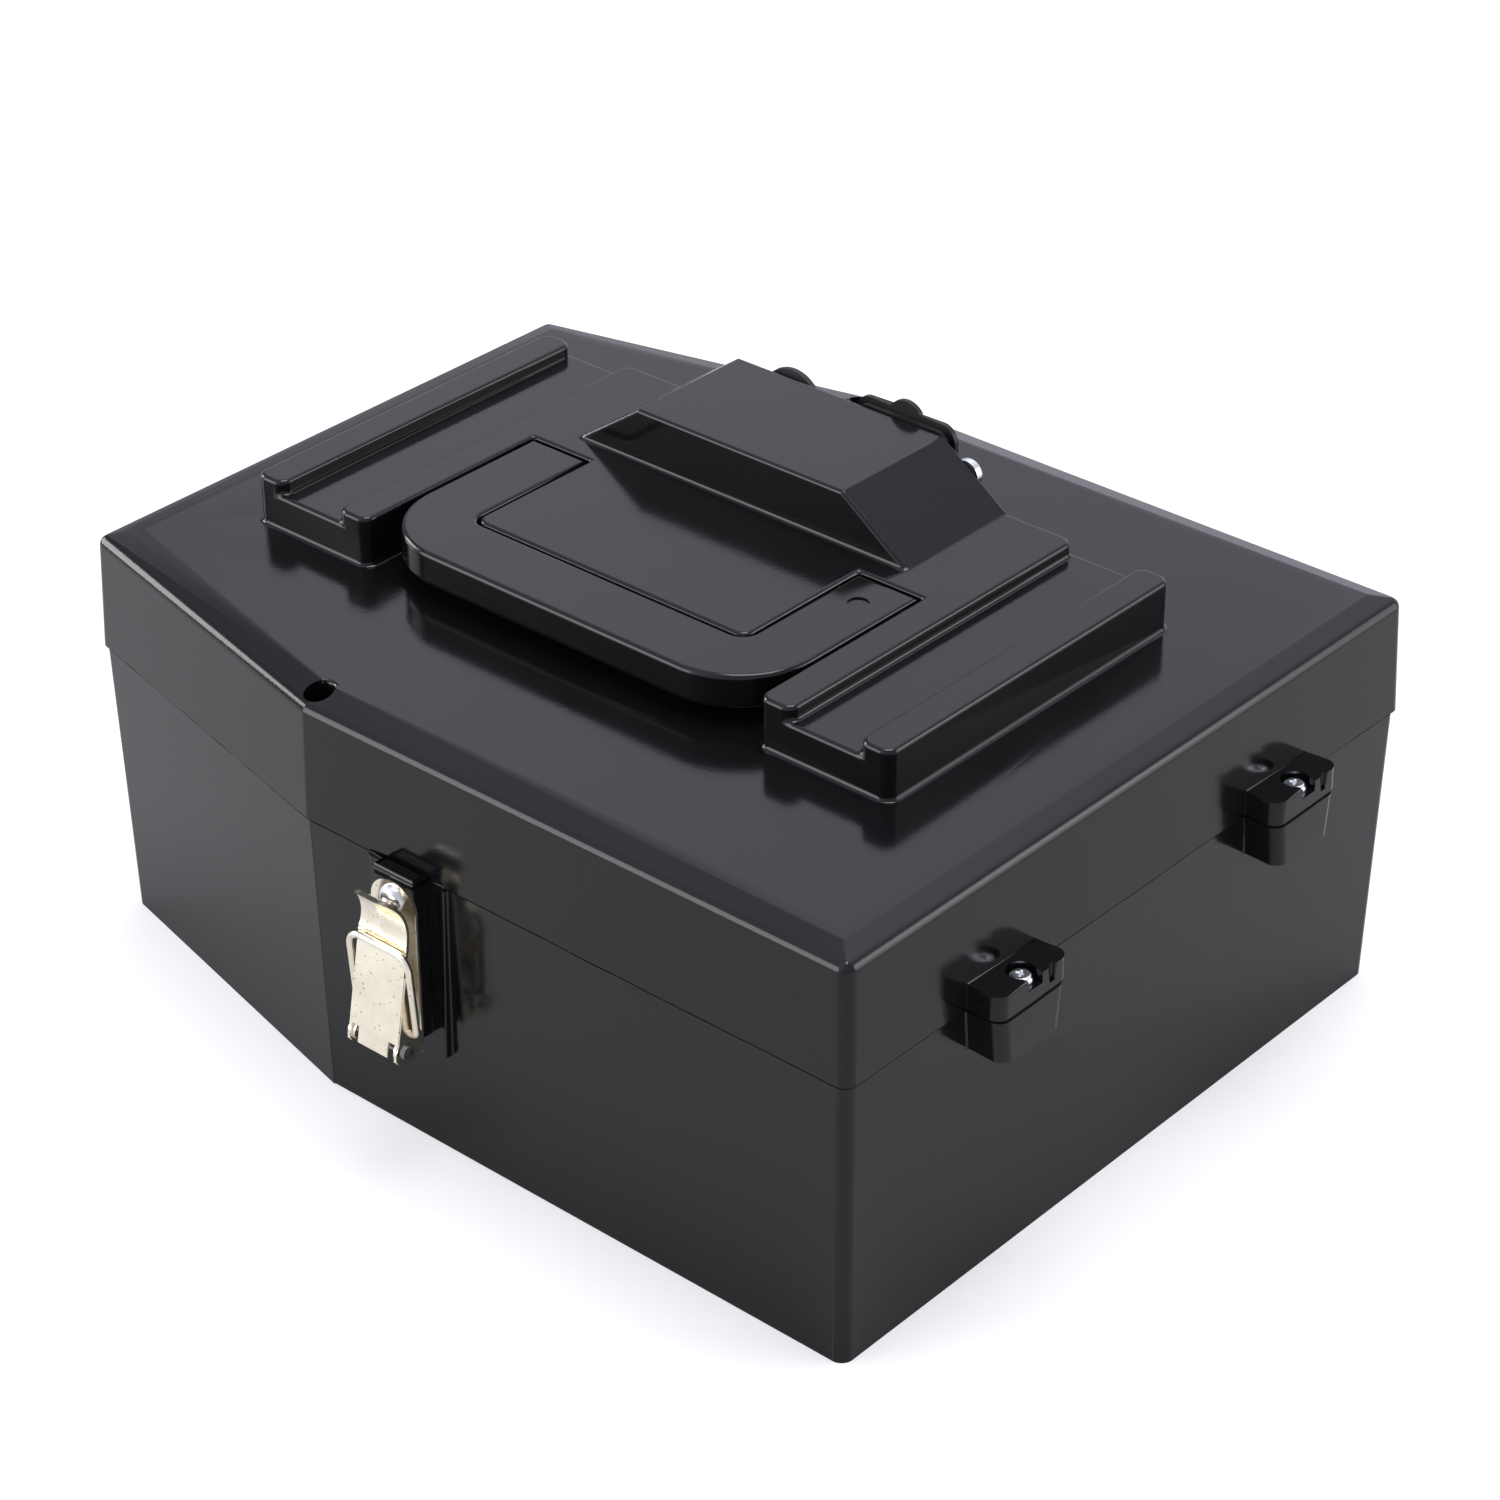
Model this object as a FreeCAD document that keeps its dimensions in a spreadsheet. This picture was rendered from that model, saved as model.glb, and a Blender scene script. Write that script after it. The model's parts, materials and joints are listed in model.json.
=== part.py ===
"""Carry case with a lift-out tray: a tapered black plastic box with a screwed lid, a folding
handle, a draw latch and a few rear fittings.  Millimetres, +Z up, +X towards the wide end,
-Y towards the latch; the origin is the centre of the plan on the bottom face."""
import FreeCAD, Part
import Sketcher
import PartDesign
import math
import os
import re
from FreeCAD import Vector, Rotation

os.makedirs("parts", exist_ok=True)
doc = FreeCAD.newDocument("carry_case")

# ---------------------------------------------------------------- driving sizes
SIZES = {
    # the plan: a rectangle whose left part tapers to a narrow end
    "case_length": 320, "case_width": 254, "narrow_width": 197.5, "bend_x": -40,
    "base_height": 94, "base_draft": 2, "wall": 3, "corner_round": 4,
    "lid_overhang": 0.86, "lid_side": 36.5, "lid_draft": 1.2,
    "border_width": 9.9, "border_rise": 2.8,
    # raised deck on the lid
    "deck_centre": -3.2, "deck_rise": 16, "deck_front": -62, "deck_rear": 64,
    "rail_outer": 122.6, "rail_inner": 111.3, "channel_inner": 88, "channel_depth": 4.5,
    "strip_inner": 76, "slot_end": 9.4, "pad_half": 52.4, "pad_front": -40.3, "deck_round": 1.4,
    "hump_centre": -4.2, "hump_front": 17.7, "hump_rise": 17.4, "hump_top_half": 39.7,
    "hump_foot_half": 64.2,
    # carrying handle
    "grip_outer": 74.9, "grip_inner": 53.2, "grip_front": -64, "grip_bar": 23, "grip_end": 8,
    "grip_thick": 11.3, "grip_corner": 27, "pivot_y": 2.5, "pivot_drop": 3.8, "pivot_radius": 2,
    # screws that hold the lid down
    "lug_y": 63, "lug_half": 15, "lug_reach": 11, "lug_top": 7.6, "lug_drop": 14.4,
    "lug_screw_x": 166, "lug_screw_radius": 1.9, "lug_head_radius": 3.55,
    "boss_x": -40.3, "boss_y": 118.8, "boss_radius": 6.5, "well_radius": 4.5, "well_floor": 104,
    "boss_screw_radius": 2.2, "boss_head_radius": 4, "insert_depth": 9, "play": 0.05,
    # draw latch
    "latch_x": 1, "pad_face": -132.8, "latch_pad_half": 7.8, "latch_pad_foot": 42.5,
    "latch_pad_head": 95.6, "plate_half": 8.7, "plate_thick": 1, "plate_top": 93.7, "plate_foot": 40,
    "plate_corner": 8, "rivet_drop_upper": 5.4, "rivet_drop_lower": 33,
    "knuckle_y": -140.6, "knuckle_z": 44, "knuckle_radius": 4.4, "ear_radius": 3.6,
    "lever_half": 9.75, "lever_foot_y": -145.1, "lever_foot_z": 42.6, "lever_root_y": -138.3,
    "lever_root_z": 78.5, "tab_y": -150.2, "tab_z": 82.5, "tab_radius": 12.6, "tab_top": 93.5,
    "eye_y": -138.4, "eye_z": 49.2, "bail_y": -140.4, "bail_top": 76.2, "bail_half": 11.7,
    "bail_wire": 1.1, "bail_corner": 5, "latch_pin_radius": 1.3,
    # rear fittings on the raised block
    "socket_x": 19.4, "socket_z": 153.4, "socket_half": 17.5, "socket_tall": 27.6, "socket_thick": 1.8,
    "bolt_reach": 14.8, "cover_half": 19, "cover_thick": 1.6, "cover_top": 168.8, "cover_corner": 5.5,
    "tab_disc": 6.8, "tab_disc_z": 165, "hinge_y": 67.6, "hinge_z": 141.4, "hinge_radius": 1.6,
    "port_x": -24.8, "port_z": 156.8, "port_cap_radius": 11.2, "port_body_radius": 5.5,
    "stud_x": 44.1, "stud_z": 156.6, "stud_radius": 4.55, "stud_shank": 2,
    # lift-out tray
    "tray_inset": 7, "tray_floor": 48, "tray_rim": 88, "tray_wall": 2,
    "ledge_reach": 8, "ledge_thick": 4, "wide_divider_x": 75, "narrow_divider_x": -85,
}
sheet = doc.addObject("Spreadsheet::Sheet", "Sizes")
for row, (alias, value) in enumerate(SIZES.items(), 1):
    sheet.set(f"A{row}", alias)
    sheet.set(f"B{row}", str(value))
    sheet.setAlias(f"B{row}", alias)
doc.recompute()

NODES = []

# heights and angles that several pieces share, as formulas in the size names
LID_SHOULDER = "base_height + lid_side"
LID_TOP = "base_height + lid_side + border_rise"
DECK_TOP = LID_TOP + " + deck_rise"
CHANNEL_FLOOR = DECK_TOP + " - channel_depth"
HUMP_TOP = DECK_TOP + " + hump_rise"
PIVOT_Z = DECK_TOP + " - pivot_drop"
TAPER = "atan((case_width - narrow_width) / (case_length + 2 * bend_x))"
RIVET_PLACES = (("upper", "plate_top - rivet_drop_upper"), ("lower", "plate_top - rivet_drop_lower"))
NARROW_HALF = f"(narrow_width / 2 + (narrow_divider_x + case_length / 2) * tan({TAPER}) - tray_inset)"


# ---------------------------------------------------------------- helpers
def bind(formula):
    """A formula in plain size names, written so that it reads the sheet."""
    return re.sub(r"[a-z_]+", lambda m: "Sizes." + m[0] if m[0] in SIZES else m[0], str(formula))


def worth(formula):
    """The number that a formula gives with the sheet as it stands."""
    found = sheet.evalExpression(bind(formula))
    return float(getattr(found, "Value", found))


def outline(sketch, points):
    """Draw a closed polygon and pin each corner to its two formulas."""
    corners = [Vector(worth(x), worth(y), 0) for x, y in points]
    count = len(corners)
    for i in range(count):
        sketch.addGeometry(Part.LineSegment(corners[i], corners[(i + 1) % count]), False)
    for i in range(count):
        sketch.addConstraint(Sketcher.Constraint("Coincident", i, 2, (i + 1) % count, 1))
    for i, (x, y) in enumerate(points):
        for kind, formula, place in (("DistanceX", x, corners[i].x), ("DistanceY", y, corners[i].y)):
            number = sketch.addConstraint(Sketcher.Constraint(kind, -1, 1, i, 1, place))
            sketch.setExpression(f"Constraints[{number}]", bind(formula))


def prism(label, plane, points, start, end):
    """A body whose polygon on an origin plane is padded from start to end along the normal."""
    body = doc.addObject("PartDesign::Body", label)
    support = next(f for f in body.Origin.OriginFeatures if f.Role == plane + "_Plane")
    sketch = body.newObject("Sketcher::SketchObject", label + "_outline")
    sketch.AttachmentSupport = (support, [""])
    sketch.MapMode = "FlatFace"
    outline(sketch, points)
    # the XZ plane looks along -Y, so its polygon starts at the far end
    rise = f"-({end})" if plane == "XZ" else start
    sketch.setExpression("AttachmentOffset.Base.z", bind(rise))
    pad = body.newObject("PartDesign::Pad", label + "_pad")
    pad.Profile = sketch
    pad.setExpression("Length", bind(f"({end}) - ({start})"))
    sketch.Visibility = False
    doc.recompute()
    return body


def block(label, x, y, z):
    """A box between two formulas on each axis."""
    box = doc.addObject("Part::Box", label)
    for side, axis, (low, high) in (("Length", "x", x), ("Width", "y", y), ("Height", "z", z)):
        box.setExpression(side, bind(f"({high}) - ({low})"))
        box.setExpression("Placement.Base." + axis, bind(low))
    return box


TURNS = {"x": Rotation(Vector(0, 1, 0), 90), "y": Rotation(Vector(1, 0, 0), -90), "z": Rotation()}


def rod(label, axis, radius, start, end, across):
    """A cylinder along an axis; across gives its two other coordinates in x, y, z order."""
    cylinder = doc.addObject("Part::Cylinder", label)
    cylinder.setExpression("Radius", bind(radius))
    cylinder.setExpression("Height", bind(f"({end}) - ({start})"))
    cylinder.Placement.Rotation = TURNS[axis]
    others = [name for name in "xyz" if name != axis]
    for name, formula in zip([axis] + others, [start] + list(across)):
        cylinder.setExpression("Placement.Base." + name, bind(formula))
    return cylinder


def joined(label, *items):
    """Fuse several solids into one."""
    fuse = doc.addObject("Part::MultiFuse", label)
    fuse.Shapes = list(items)
    fuse.Refine = True
    doc.recompute()
    return fuse


def carved(label, base, *tools):
    """Cut every tool out of a solid."""
    cut = doc.addObject("Part::Cut", label)
    cut.Base = base
    cut.Tool = tools[0] if len(tools) == 1 else joined(label + "_tools", *tools)
    cut.Refine = True
    doc.recompute()
    return cut


def shared(label, one, other):
    """Keep what two solids have in common."""
    common = doc.addObject("Part::Common", label)
    common.Base = one
    common.Tool = other
    common.Refine = True
    doc.recompute()
    return common


def grouped(label, *items):
    """Hold several separate solids in one node."""
    compound = doc.addObject("Part::Compound", label)
    compound.Links = list(items)
    doc.recompute()
    return compound


def rounded(label, item, radius, test):
    """Round the edges that a test picks."""
    doc.recompute()
    picked = [i for i, edge in enumerate(item.Shape.Edges, 1) if test(edge)]
    if not picked:
        raise RuntimeError(label + ": no edge to round")
    if item.TypeId == "PartDesign::Body":
        base = item.Tip
        fillet = item.newObject("PartDesign::Fillet", label)
        fillet.Base = (base, [f"Edge{i}" for i in picked])
        fillet.setExpression("Radius", bind(radius))
        item.Tip = fillet
        doc.recompute()
        return item
    fillet = doc.addObject("Part::Fillet", label)
    fillet.Base = item
    fillet.Edges = [(i, worth(radius), worth(radius)) for i in picked]
    doc.recompute()
    return fillet


def runs(edge, axis, slack=0.97):
    """Whether an edge runs along an axis, or nearly so."""
    return len(edge.Vertexes) == 2 and abs(getattr(edge.tangentAt(edge.FirstParameter), axis)) > slack


def level(edge, z):
    """Whether an edge lies flat at a height."""
    return all(abs(corner.Z - z) < 0.01 for corner in edge.Vertexes)


def plan(inset):
    """The six corners of the case's plan, moved inwards by an inset."""
    turn = f"({inset}) * tan({TAPER} / 2)"
    slant = f"({inset}) * tan(45 deg - {TAPER} / 2)"
    return [
        (f"case_length / 2 - ({inset})", f"-case_width / 2 + ({inset})"),
        (f"case_length / 2 - ({inset})", f"case_width / 2 - ({inset})"),
        (f"bend_x + {turn}", f"case_width / 2 - ({inset})"),
        (f"-case_length / 2 + ({inset})", f"narrow_width / 2 - {slant}"),
        (f"-case_length / 2 + ({inset})", f"-narrow_width / 2 + {slant}"),
        (f"bend_x + {turn}", f"-case_width / 2 + ({inset})"),
    ]


def tapered(label, low, low_inset, high, high_inset):
    """A solid on the case's plan whose sides lean, from one inset at its foot to another at its top."""
    body = prism(label, "XY", plan(low_inset), low, high)
    lean = worth(f"({high_inset}) - ({low_inset})")
    if abs(lean) < 1e-6:
        return body
    pad = body.Tip
    names = [f"Face{i}" for i in range(1, len(pad.Shape.Faces) + 1)]
    upright = [name for name, face in zip(names, pad.Shape.Faces) if abs(face.normalAt(0, 0).z) < 0.5]
    foot = min(zip(names, pad.Shape.Faces), key=lambda pair: pair[1].CenterOfMass.z)[0]
    draft = body.newObject("PartDesign::Draft", label + "_lean")
    draft.Base = (pad, upright)
    draft.NeutralPlane = (pad, [foot])
    draft.setExpression("Angle", bind(f"atan(abs(({high_inset}) - ({low_inset})) / (({high}) - ({low})))"))
    draft.Reversed = lean < 0
    body.Tip = draft
    doc.recompute()
    return body


def both_sides(y):
    """Front and rear twins of a feature: a name and a sign for each."""
    return (("front", f"-({y})"), ("rear", f"({y})"))


def keep(name, item):
    """Make an object one of the case's pieces."""
    item.Label = name
    NODES.append(item)
    return item


# ---------------------------------------------------------------- base
def latch_pad():
    """The moulded seat that carries the latch, with a thin wider step behind it."""
    half = "latch_pad_half"
    seat = block("latch_seat", (f"latch_x - 0.5 - {half}", f"latch_x - 0.5 + {half}"), ("pad_face", "-124.5"),
                 ("latch_pad_foot", "base_height"))
    brow = block("latch_brow", (f"latch_x - 0.5 - {half}", f"latch_x - 0.5 + {half}"),
                 ("pad_face", "-case_width / 2 - 0.3"), ("base_height - 1", "latch_pad_head"))
    step = prism("latch_step", "XZ", [
        ("latch_x - 15.6", "base_height"), ("latch_x - 12.6", "latch_pad_foot - 7"),
        ("latch_x + 11.6", "latch_pad_foot - 7"), ("latch_x + 14", "base_height"),
    ], "-case_width / 2 - 0.5", "-124.5")
    return [seat, brow, step]


def side_lugs(label, low, high, half_low, half_high):
    """The pair of lugs on the wide end, for the lid or for the base."""
    lugs = []
    reach = "case_length / 2 + lug_reach"
    for name, y in both_sides("lug_y"):
        lug = prism(f"{label}_{name}", "YZ", [
            (f"{y} - ({half_low})", low), (f"{y} + ({half_low})", low),
            (f"{y} + ({half_high})", high), (f"{y} - ({half_high})", high),
        ], "case_length / 2 - 2.4", reach)
        lugs.append(rounded(f"{label}_{name}_round", lug, "corner_round",
                            lambda e: runs(e, "z") and e.CenterOfMass.x > worth(reach) - 0.1))
    return lugs


def screw_columns(label, low, high, whole):
    """Round columns at the two bends, kept inside the outer skin."""
    columns = [rod(f"{label}_{name}", "z", "boss_radius", low, high, ("boss_x", y))
               for name, y in both_sides("boss_y")]
    return shared(label, joined(label + "_pair", *columns), whole)


def make_base():
    outside = tapered("base_block", "0", "lid_overhang + base_draft", "base_height", "lid_overhang")
    outside = rounded("base_skin", outside, "corner_round", lambda e: runs(e, "z"))
    inside = tapered("base_room", "wall", "lid_overhang + base_draft + wall",
                     "base_height + 1", "lid_overhang + wall")
    inside = rounded("base_hollow", inside, "corner_round - 1.5", lambda e: runs(e, "z"))
    shell = carved("base_wall", outside, inside)
    columns = screw_columns("base_columns", "wall - 1", "base_height", outside)
    ledges = [
        block("ledge_wide", ("case_length / 2 - wall - ledge_reach", "case_length / 2 - wall"), (-90, 90),
              ("tray_floor - ledge_thick", "tray_floor")),
        block("ledge_narrow", ("-case_length / 2 + wall", "-case_length / 2 + wall + ledge_reach"),
              (-70, 70), ("tray_floor - ledge_thick", "tray_floor")),
    ]
    lugs = side_lugs("base_lug", "base_height - lug_drop", "base_height", "lug_half - 2", "lug_half - 0.4")
    body = joined("base_solid", shell, columns, *ledges, *latch_pad(), *lugs)
    holes = []
    for name, y in both_sides("boss_y"):
        holes.append(rod(f"boss_seat_{name}", "z", 2.9, "base_height - insert_depth", "base_height + 1",
                         ("boss_x", y)))
        holes.append(rod(f"boss_pilot_{name}", "z", "boss_screw_radius + 0.2", "base_height - 22",
                         "base_height", ("boss_x", y)))
    for name, y in both_sides("lug_y"):
        holes.append(rod(f"lug_seat_{name}", "z", 2.7, "base_height - insert_depth", "base_height + 1",
                         ("lug_screw_x", y)))
    for name, z in RIVET_PLACES:
        holes.append(rod(f"rivet_hole_{name}", "y", 1.6, "-136", "-120", ("latch_x", z)))
    keep("base_shell", carved("base_part", body, *holes))


def inserts(name, x, y, outer, inner):
    """Brass bushes set flush into the base for the lid screws."""
    bushes = []
    for side, place in both_sides(y):
        bush = rod(f"{name}_{side}_body", "z", outer, "base_height - insert_depth", "base_height - 0.1",
                   (x, place))
        bore = rod(f"{name}_{side}_bore", "z", inner, "base_height - insert_depth - 1", "base_height + 1",
                   (x, place))
        bushes.append(carved(f"{name}_{side}", bush, bore))
    keep(name, grouped(name + "_pair", *bushes))


# ---------------------------------------------------------------- lid
def deck_solids():
    """Everything that stands on the lid's flat top, as one solid with softened edges."""
    foot = f"{LID_TOP} - 1"
    pieces = []
    for name, sign in (("left", "-"), ("right", "+")):
        across = ["strip_inner", "strip_inner", "channel_inner", "channel_inner", "rail_inner", "rail_inner",
                  "rail_outer", "rail_outer"]
        up = [foot, DECK_TOP, DECK_TOP, CHANNEL_FLOOR, CHANNEL_FLOOR, DECK_TOP, DECK_TOP, foot]
        points = [(f"deck_centre {sign} {x}", z) for x, z in zip(across, up)]
        pieces.append(prism("deck_" + name, "XZ", points, "deck_front", "deck_rear"))
    edge = "strip_inner + 1"
    pieces.append(prism("deck_middle", "XY", [
        (f"deck_centre - ({edge})", "slot_end"), ("deck_centre - pad_half", "slot_end"),
        ("deck_centre - pad_half", "pad_front"), ("deck_centre + pad_half", "pad_front"),
        ("deck_centre + pad_half", "slot_end"), (f"deck_centre + {edge}", "slot_end"),
        (f"deck_centre + {edge}", "deck_rear"), (f"deck_centre - ({edge})", "deck_rear"),
    ], foot, DECK_TOP))
    deck = joined("deck_blank", *pieces)
    ends = worth("deck_front"), worth("deck_rear"), worth("pad_front")
    deck = rounded("deck_corners", deck, 4, lambda e: runs(e, "z")
                   and min(abs(e.CenterOfMass.y - y) for y in ends) < 0.1)
    floor = worth(CHANNEL_FLOOR)
    return rounded("deck_soft", deck, "deck_round",
                   lambda e: level(e, worth(DECK_TOP)) or (level(e, floor) and runs(e, "x")))


def hump_solid():
    """The raised block behind the handle, with sloping ends."""
    hump = prism("hump", "XZ", [
        ("hump_centre - hump_foot_half", DECK_TOP), ("hump_centre - hump_foot_half", DECK_TOP + " - 4"),
        ("hump_centre + hump_foot_half", DECK_TOP + " - 4"), ("hump_centre + hump_foot_half", DECK_TOP),
        ("hump_centre + hump_top_half", HUMP_TOP), ("hump_centre - hump_top_half", HUMP_TOP),
    ], "hump_front", "deck_rear")
    top = worth(HUMP_TOP)
    front = worth("hump_front")
    return rounded("hump_soft", hump, 1.2, lambda e: level(e, top)
                   or (abs(e.CenterOfMass.y - front) < 0.1 and e.CenterOfMass.z > worth(DECK_TOP) + 1))


def lid_hollows():
    """The room inside the lid, following the deck at one wall's thickness."""
    roof = f"{LID_TOP} - wall"
    main = tapered("lid_room", "base_height - 1", "wall", LID_SHOULDER + " - wall", "wall + lid_draft")
    slope = tapered("lid_room_slope", LID_SHOULDER + " - wall - 0.01", "wall + lid_draft", roof,
                    "wall + lid_draft + border_width")
    low = roof + " - 1"
    rooms = [main, slope]
    for name, sign in (("left", -1), ("right", 1)):
        for part, near, far, top in (("strip", "strip_inner", "channel_inner", DECK_TOP),
                                     ("channel", "channel_inner - 2 * wall", "rail_outer", CHANNEL_FLOOR)):
            edges = [f"deck_centre + {sign} * ({near} + wall)", f"deck_centre + {sign} * ({far} - wall)"]
            rooms.append(block(f"room_{part}_{name}", edges[::sign],
                               ("deck_front + wall", "deck_rear - wall"), (low, top + " - wall")))
    rooms.append(block("room_plateau",
                       ("deck_centre - strip_inner + wall", "deck_centre + strip_inner - wall"),
                       ("slot_end + wall", "deck_rear - wall"), (low, DECK_TOP + " - wall")))
    rooms.append(block("room_pad", ("deck_centre - pad_half + wall", "deck_centre + pad_half - wall"),
                       ("pad_front + wall", "slot_end + wall + 1"), (low, DECK_TOP + " - wall")))
    rooms.append(prism("room_hump", "XZ", [
        ("hump_centre - hump_foot_half + wall", DECK_TOP + " - 5"),
        ("hump_centre + hump_foot_half - wall", DECK_TOP + " - 5"),
        ("hump_centre + hump_foot_half - 1.3 * wall", DECK_TOP + " - wall"),
        ("hump_centre + hump_top_half - wall / 2", HUMP_TOP + " - wall"),
        ("hump_centre - hump_top_half + wall / 2", HUMP_TOP + " - wall"),
        ("hump_centre - hump_foot_half + 1.3 * wall", DECK_TOP + " - wall"),
    ], "hump_front + wall", "deck_rear - wall"))
    return rooms


def rear_openings():
    """Holes through the raised block's rear wall for the fittings."""
    through = ("deck_rear - 2 * wall", "deck_rear + 1")
    holes = [block("socket_window", ("socket_x - 11.2", "socket_x + 11.2"), through,
                   ("socket_z - 7.2", "socket_z + 7.2")),
             rod("port_window", "y", "port_body_radius + play", *through, ("port_x", "port_z")),
             rod("stud_hole", "y", "stud_shank + play", *through, ("stud_x", "stud_z"))]
    for side in (-1, 1):
        holes.append(rod(f"socket_screw_hole_{side + 2}", "y", 1.3, *through,
                         (f"socket_x + {side} * bolt_reach", "socket_z")))
    return holes


def make_lid():
    inset_top = "lid_draft * (lid_side + border_rise) / lid_side"
    skin = tapered("lid_block", "base_height", "0", LID_TOP, inset_top)
    skin = rounded("lid_skin", skin, "corner_round", lambda e: runs(e, "z"))
    slope = "border_width / border_rise"
    low_inset = f"lid_draft - 0.5 * {slope}"
    cap = tapered("lid_cap", LID_SHOULDER + " - 0.5", low_inset, LID_TOP, "lid_draft + border_width")
    slab = block("lid_slab", ("-case_length", "case_length"), ("-case_width", "case_width"),
                 (LID_SHOULDER + " - 0.5", LID_TOP + " + 5"))
    skin = carved("lid_outside", skin, carved("lid_bevel_tool", slab, cap))
    hollow = carved("lid_wall", joined("lid_full", skin, deck_solids(), hump_solid()), *lid_hollows())
    columns = screw_columns("lid_columns", "base_height + 0.1", LID_TOP, skin)
    lugs = side_lugs("lid_lug", "base_height", "base_height + lug_top", "lug_half + 0.2", "lug_half")
    body = joined("lid_solid", hollow, columns, *lugs)
    holes = rear_openings()
    for name, y in both_sides("boss_y"):
        holes.append(rod(f"well_{name}", "z", "well_radius", "well_floor", LID_TOP + " + 1", ("boss_x", y)))
        holes.append(rod(f"well_hole_{name}", "z", "boss_screw_radius + 0.2", "base_height - 1", "well_floor",
                         ("boss_x", y)))
    seat = "base_height + lug_top - 3.4"
    for name, y in both_sides("lug_y"):
        holes.append(rod(f"lug_hole_{name}", "z", "lug_screw_radius + 0.2", "base_height - 1", seat,
                         ("lug_screw_x", y)))
        holes.append(rod(f"lug_well_{name}", "z", "lug_head_radius + 0.7", seat, "base_height + lug_top + 1",
                         ("lug_screw_x", y)))
        holes.append(block(f"lug_notch_{name}", ("lug_screw_x", "lug_screw_x + 8"), (f"{y} - 3", f"{y} + 3"),
                           (seat, "base_height + lug_top + 1")))
        holes.append(block(f"lug_nick_{name}", ("case_length / 2 + lug_reach - 1.2", "lug_screw_x + 8"),
                           (f"{y} + 6.2", f"{y} + 8.4"), ("base_height + 2.4", "base_height + lug_top + 1")))
    for name, sign in (("left", -1), ("right", 1)):
        for part, place in (("strip", "strip_inner + wall / 2"), ("pad", "pad_half - wall / 2")):
            middle = f"deck_centre + {sign} * ({place})"
            holes.append(rod(f"pin_hole_{part}_{name}", "x", "pivot_radius + play", f"{middle} - wall",
                             f"{middle} + wall", ("pivot_y", PIVOT_Z)))
        wall_face = f"deck_centre + {sign} * (strip_inner + wall"
        pocket = [wall_face + ")", wall_face + " + 2)"]
        holes.append(rod(f"pin_pocket_{name}", "x", "pivot_radius + 0.8 + play", *pocket[::sign],
                         ("pivot_y", PIVOT_Z)))
    keep("lid_shell", carved("lid_part", body, *holes))


def make_seal():
    """The rubber strip inside the lid's rim: an upper band on the wall and a lip into the base."""
    def band(label, low, high, near, far):
        big = rounded(label + "_round", tapered(label + "_out", low, near, high, near), 4,
                      lambda e: runs(e, "z"))
        small = tapered(label + "_in", low + " - 1", far, high + " + 1", far)
        return carved(label, big, small)
    upper = band("seal_band", "base_height + 0.05", "base_height + 3", "wall + 0.15", "wall + 3")
    lower = band("seal_lip", "base_height - 3", "base_height + 0.1", "lid_overhang + wall + 0.5", "wall + 3")
    gaps = [rod(f"seal_gap_{name}", "z", "boss_radius + 0.5", "base_height - 5", "base_height + 5",
                ("boss_x", y)) for name, y in both_sides("boss_y")]
    keep("lid_seal", carved("seal_part", joined("seal_blank", upper, lower), *gaps))


def screws(name, x, y, seat, tip, radius, head_radius, head_tall):
    """A pair of cross-recess pan-head screws standing upright."""
    pair = []
    for side, place in both_sides(y):
        shank = rod(f"{name}_{side}_shank", "z", radius, tip, f"{seat} + 0.5", (x, place))
        head = rod(f"{name}_{side}_head", "z", head_radius, seat, f"{seat} + {head_tall}", (x, place))
        top = worth(f"{seat} + {head_tall}")
        head = rounded(f"{name}_{side}_dome", head, f"{head_tall} * 0.45", lambda e: level(e, top))
        arms = [block(f"{name}_{side}_slot_a", (f"{x} - {head_radius} * 0.5", f"{x} + {head_radius} * 0.5"),
                      (f"{place} - 0.45", f"{place} + 0.45"), (f"{seat} + {head_tall} * 0.4", f"{seat} + 9")),
                block(f"{name}_{side}_slot_b", (f"{x} - 0.45", f"{x} + 0.45"),
                      (f"{place} - {head_radius} * 0.5", f"{place} + {head_radius} * 0.5"),
                      (f"{seat} + {head_tall} * 0.4", f"{seat} + 9"))]
        pair.append(carved(f"{name}_{side}", joined(f"{name}_{side}_blank", shank, head), *arms))
    keep(name, grouped(name + "_pair", *pair))


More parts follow.
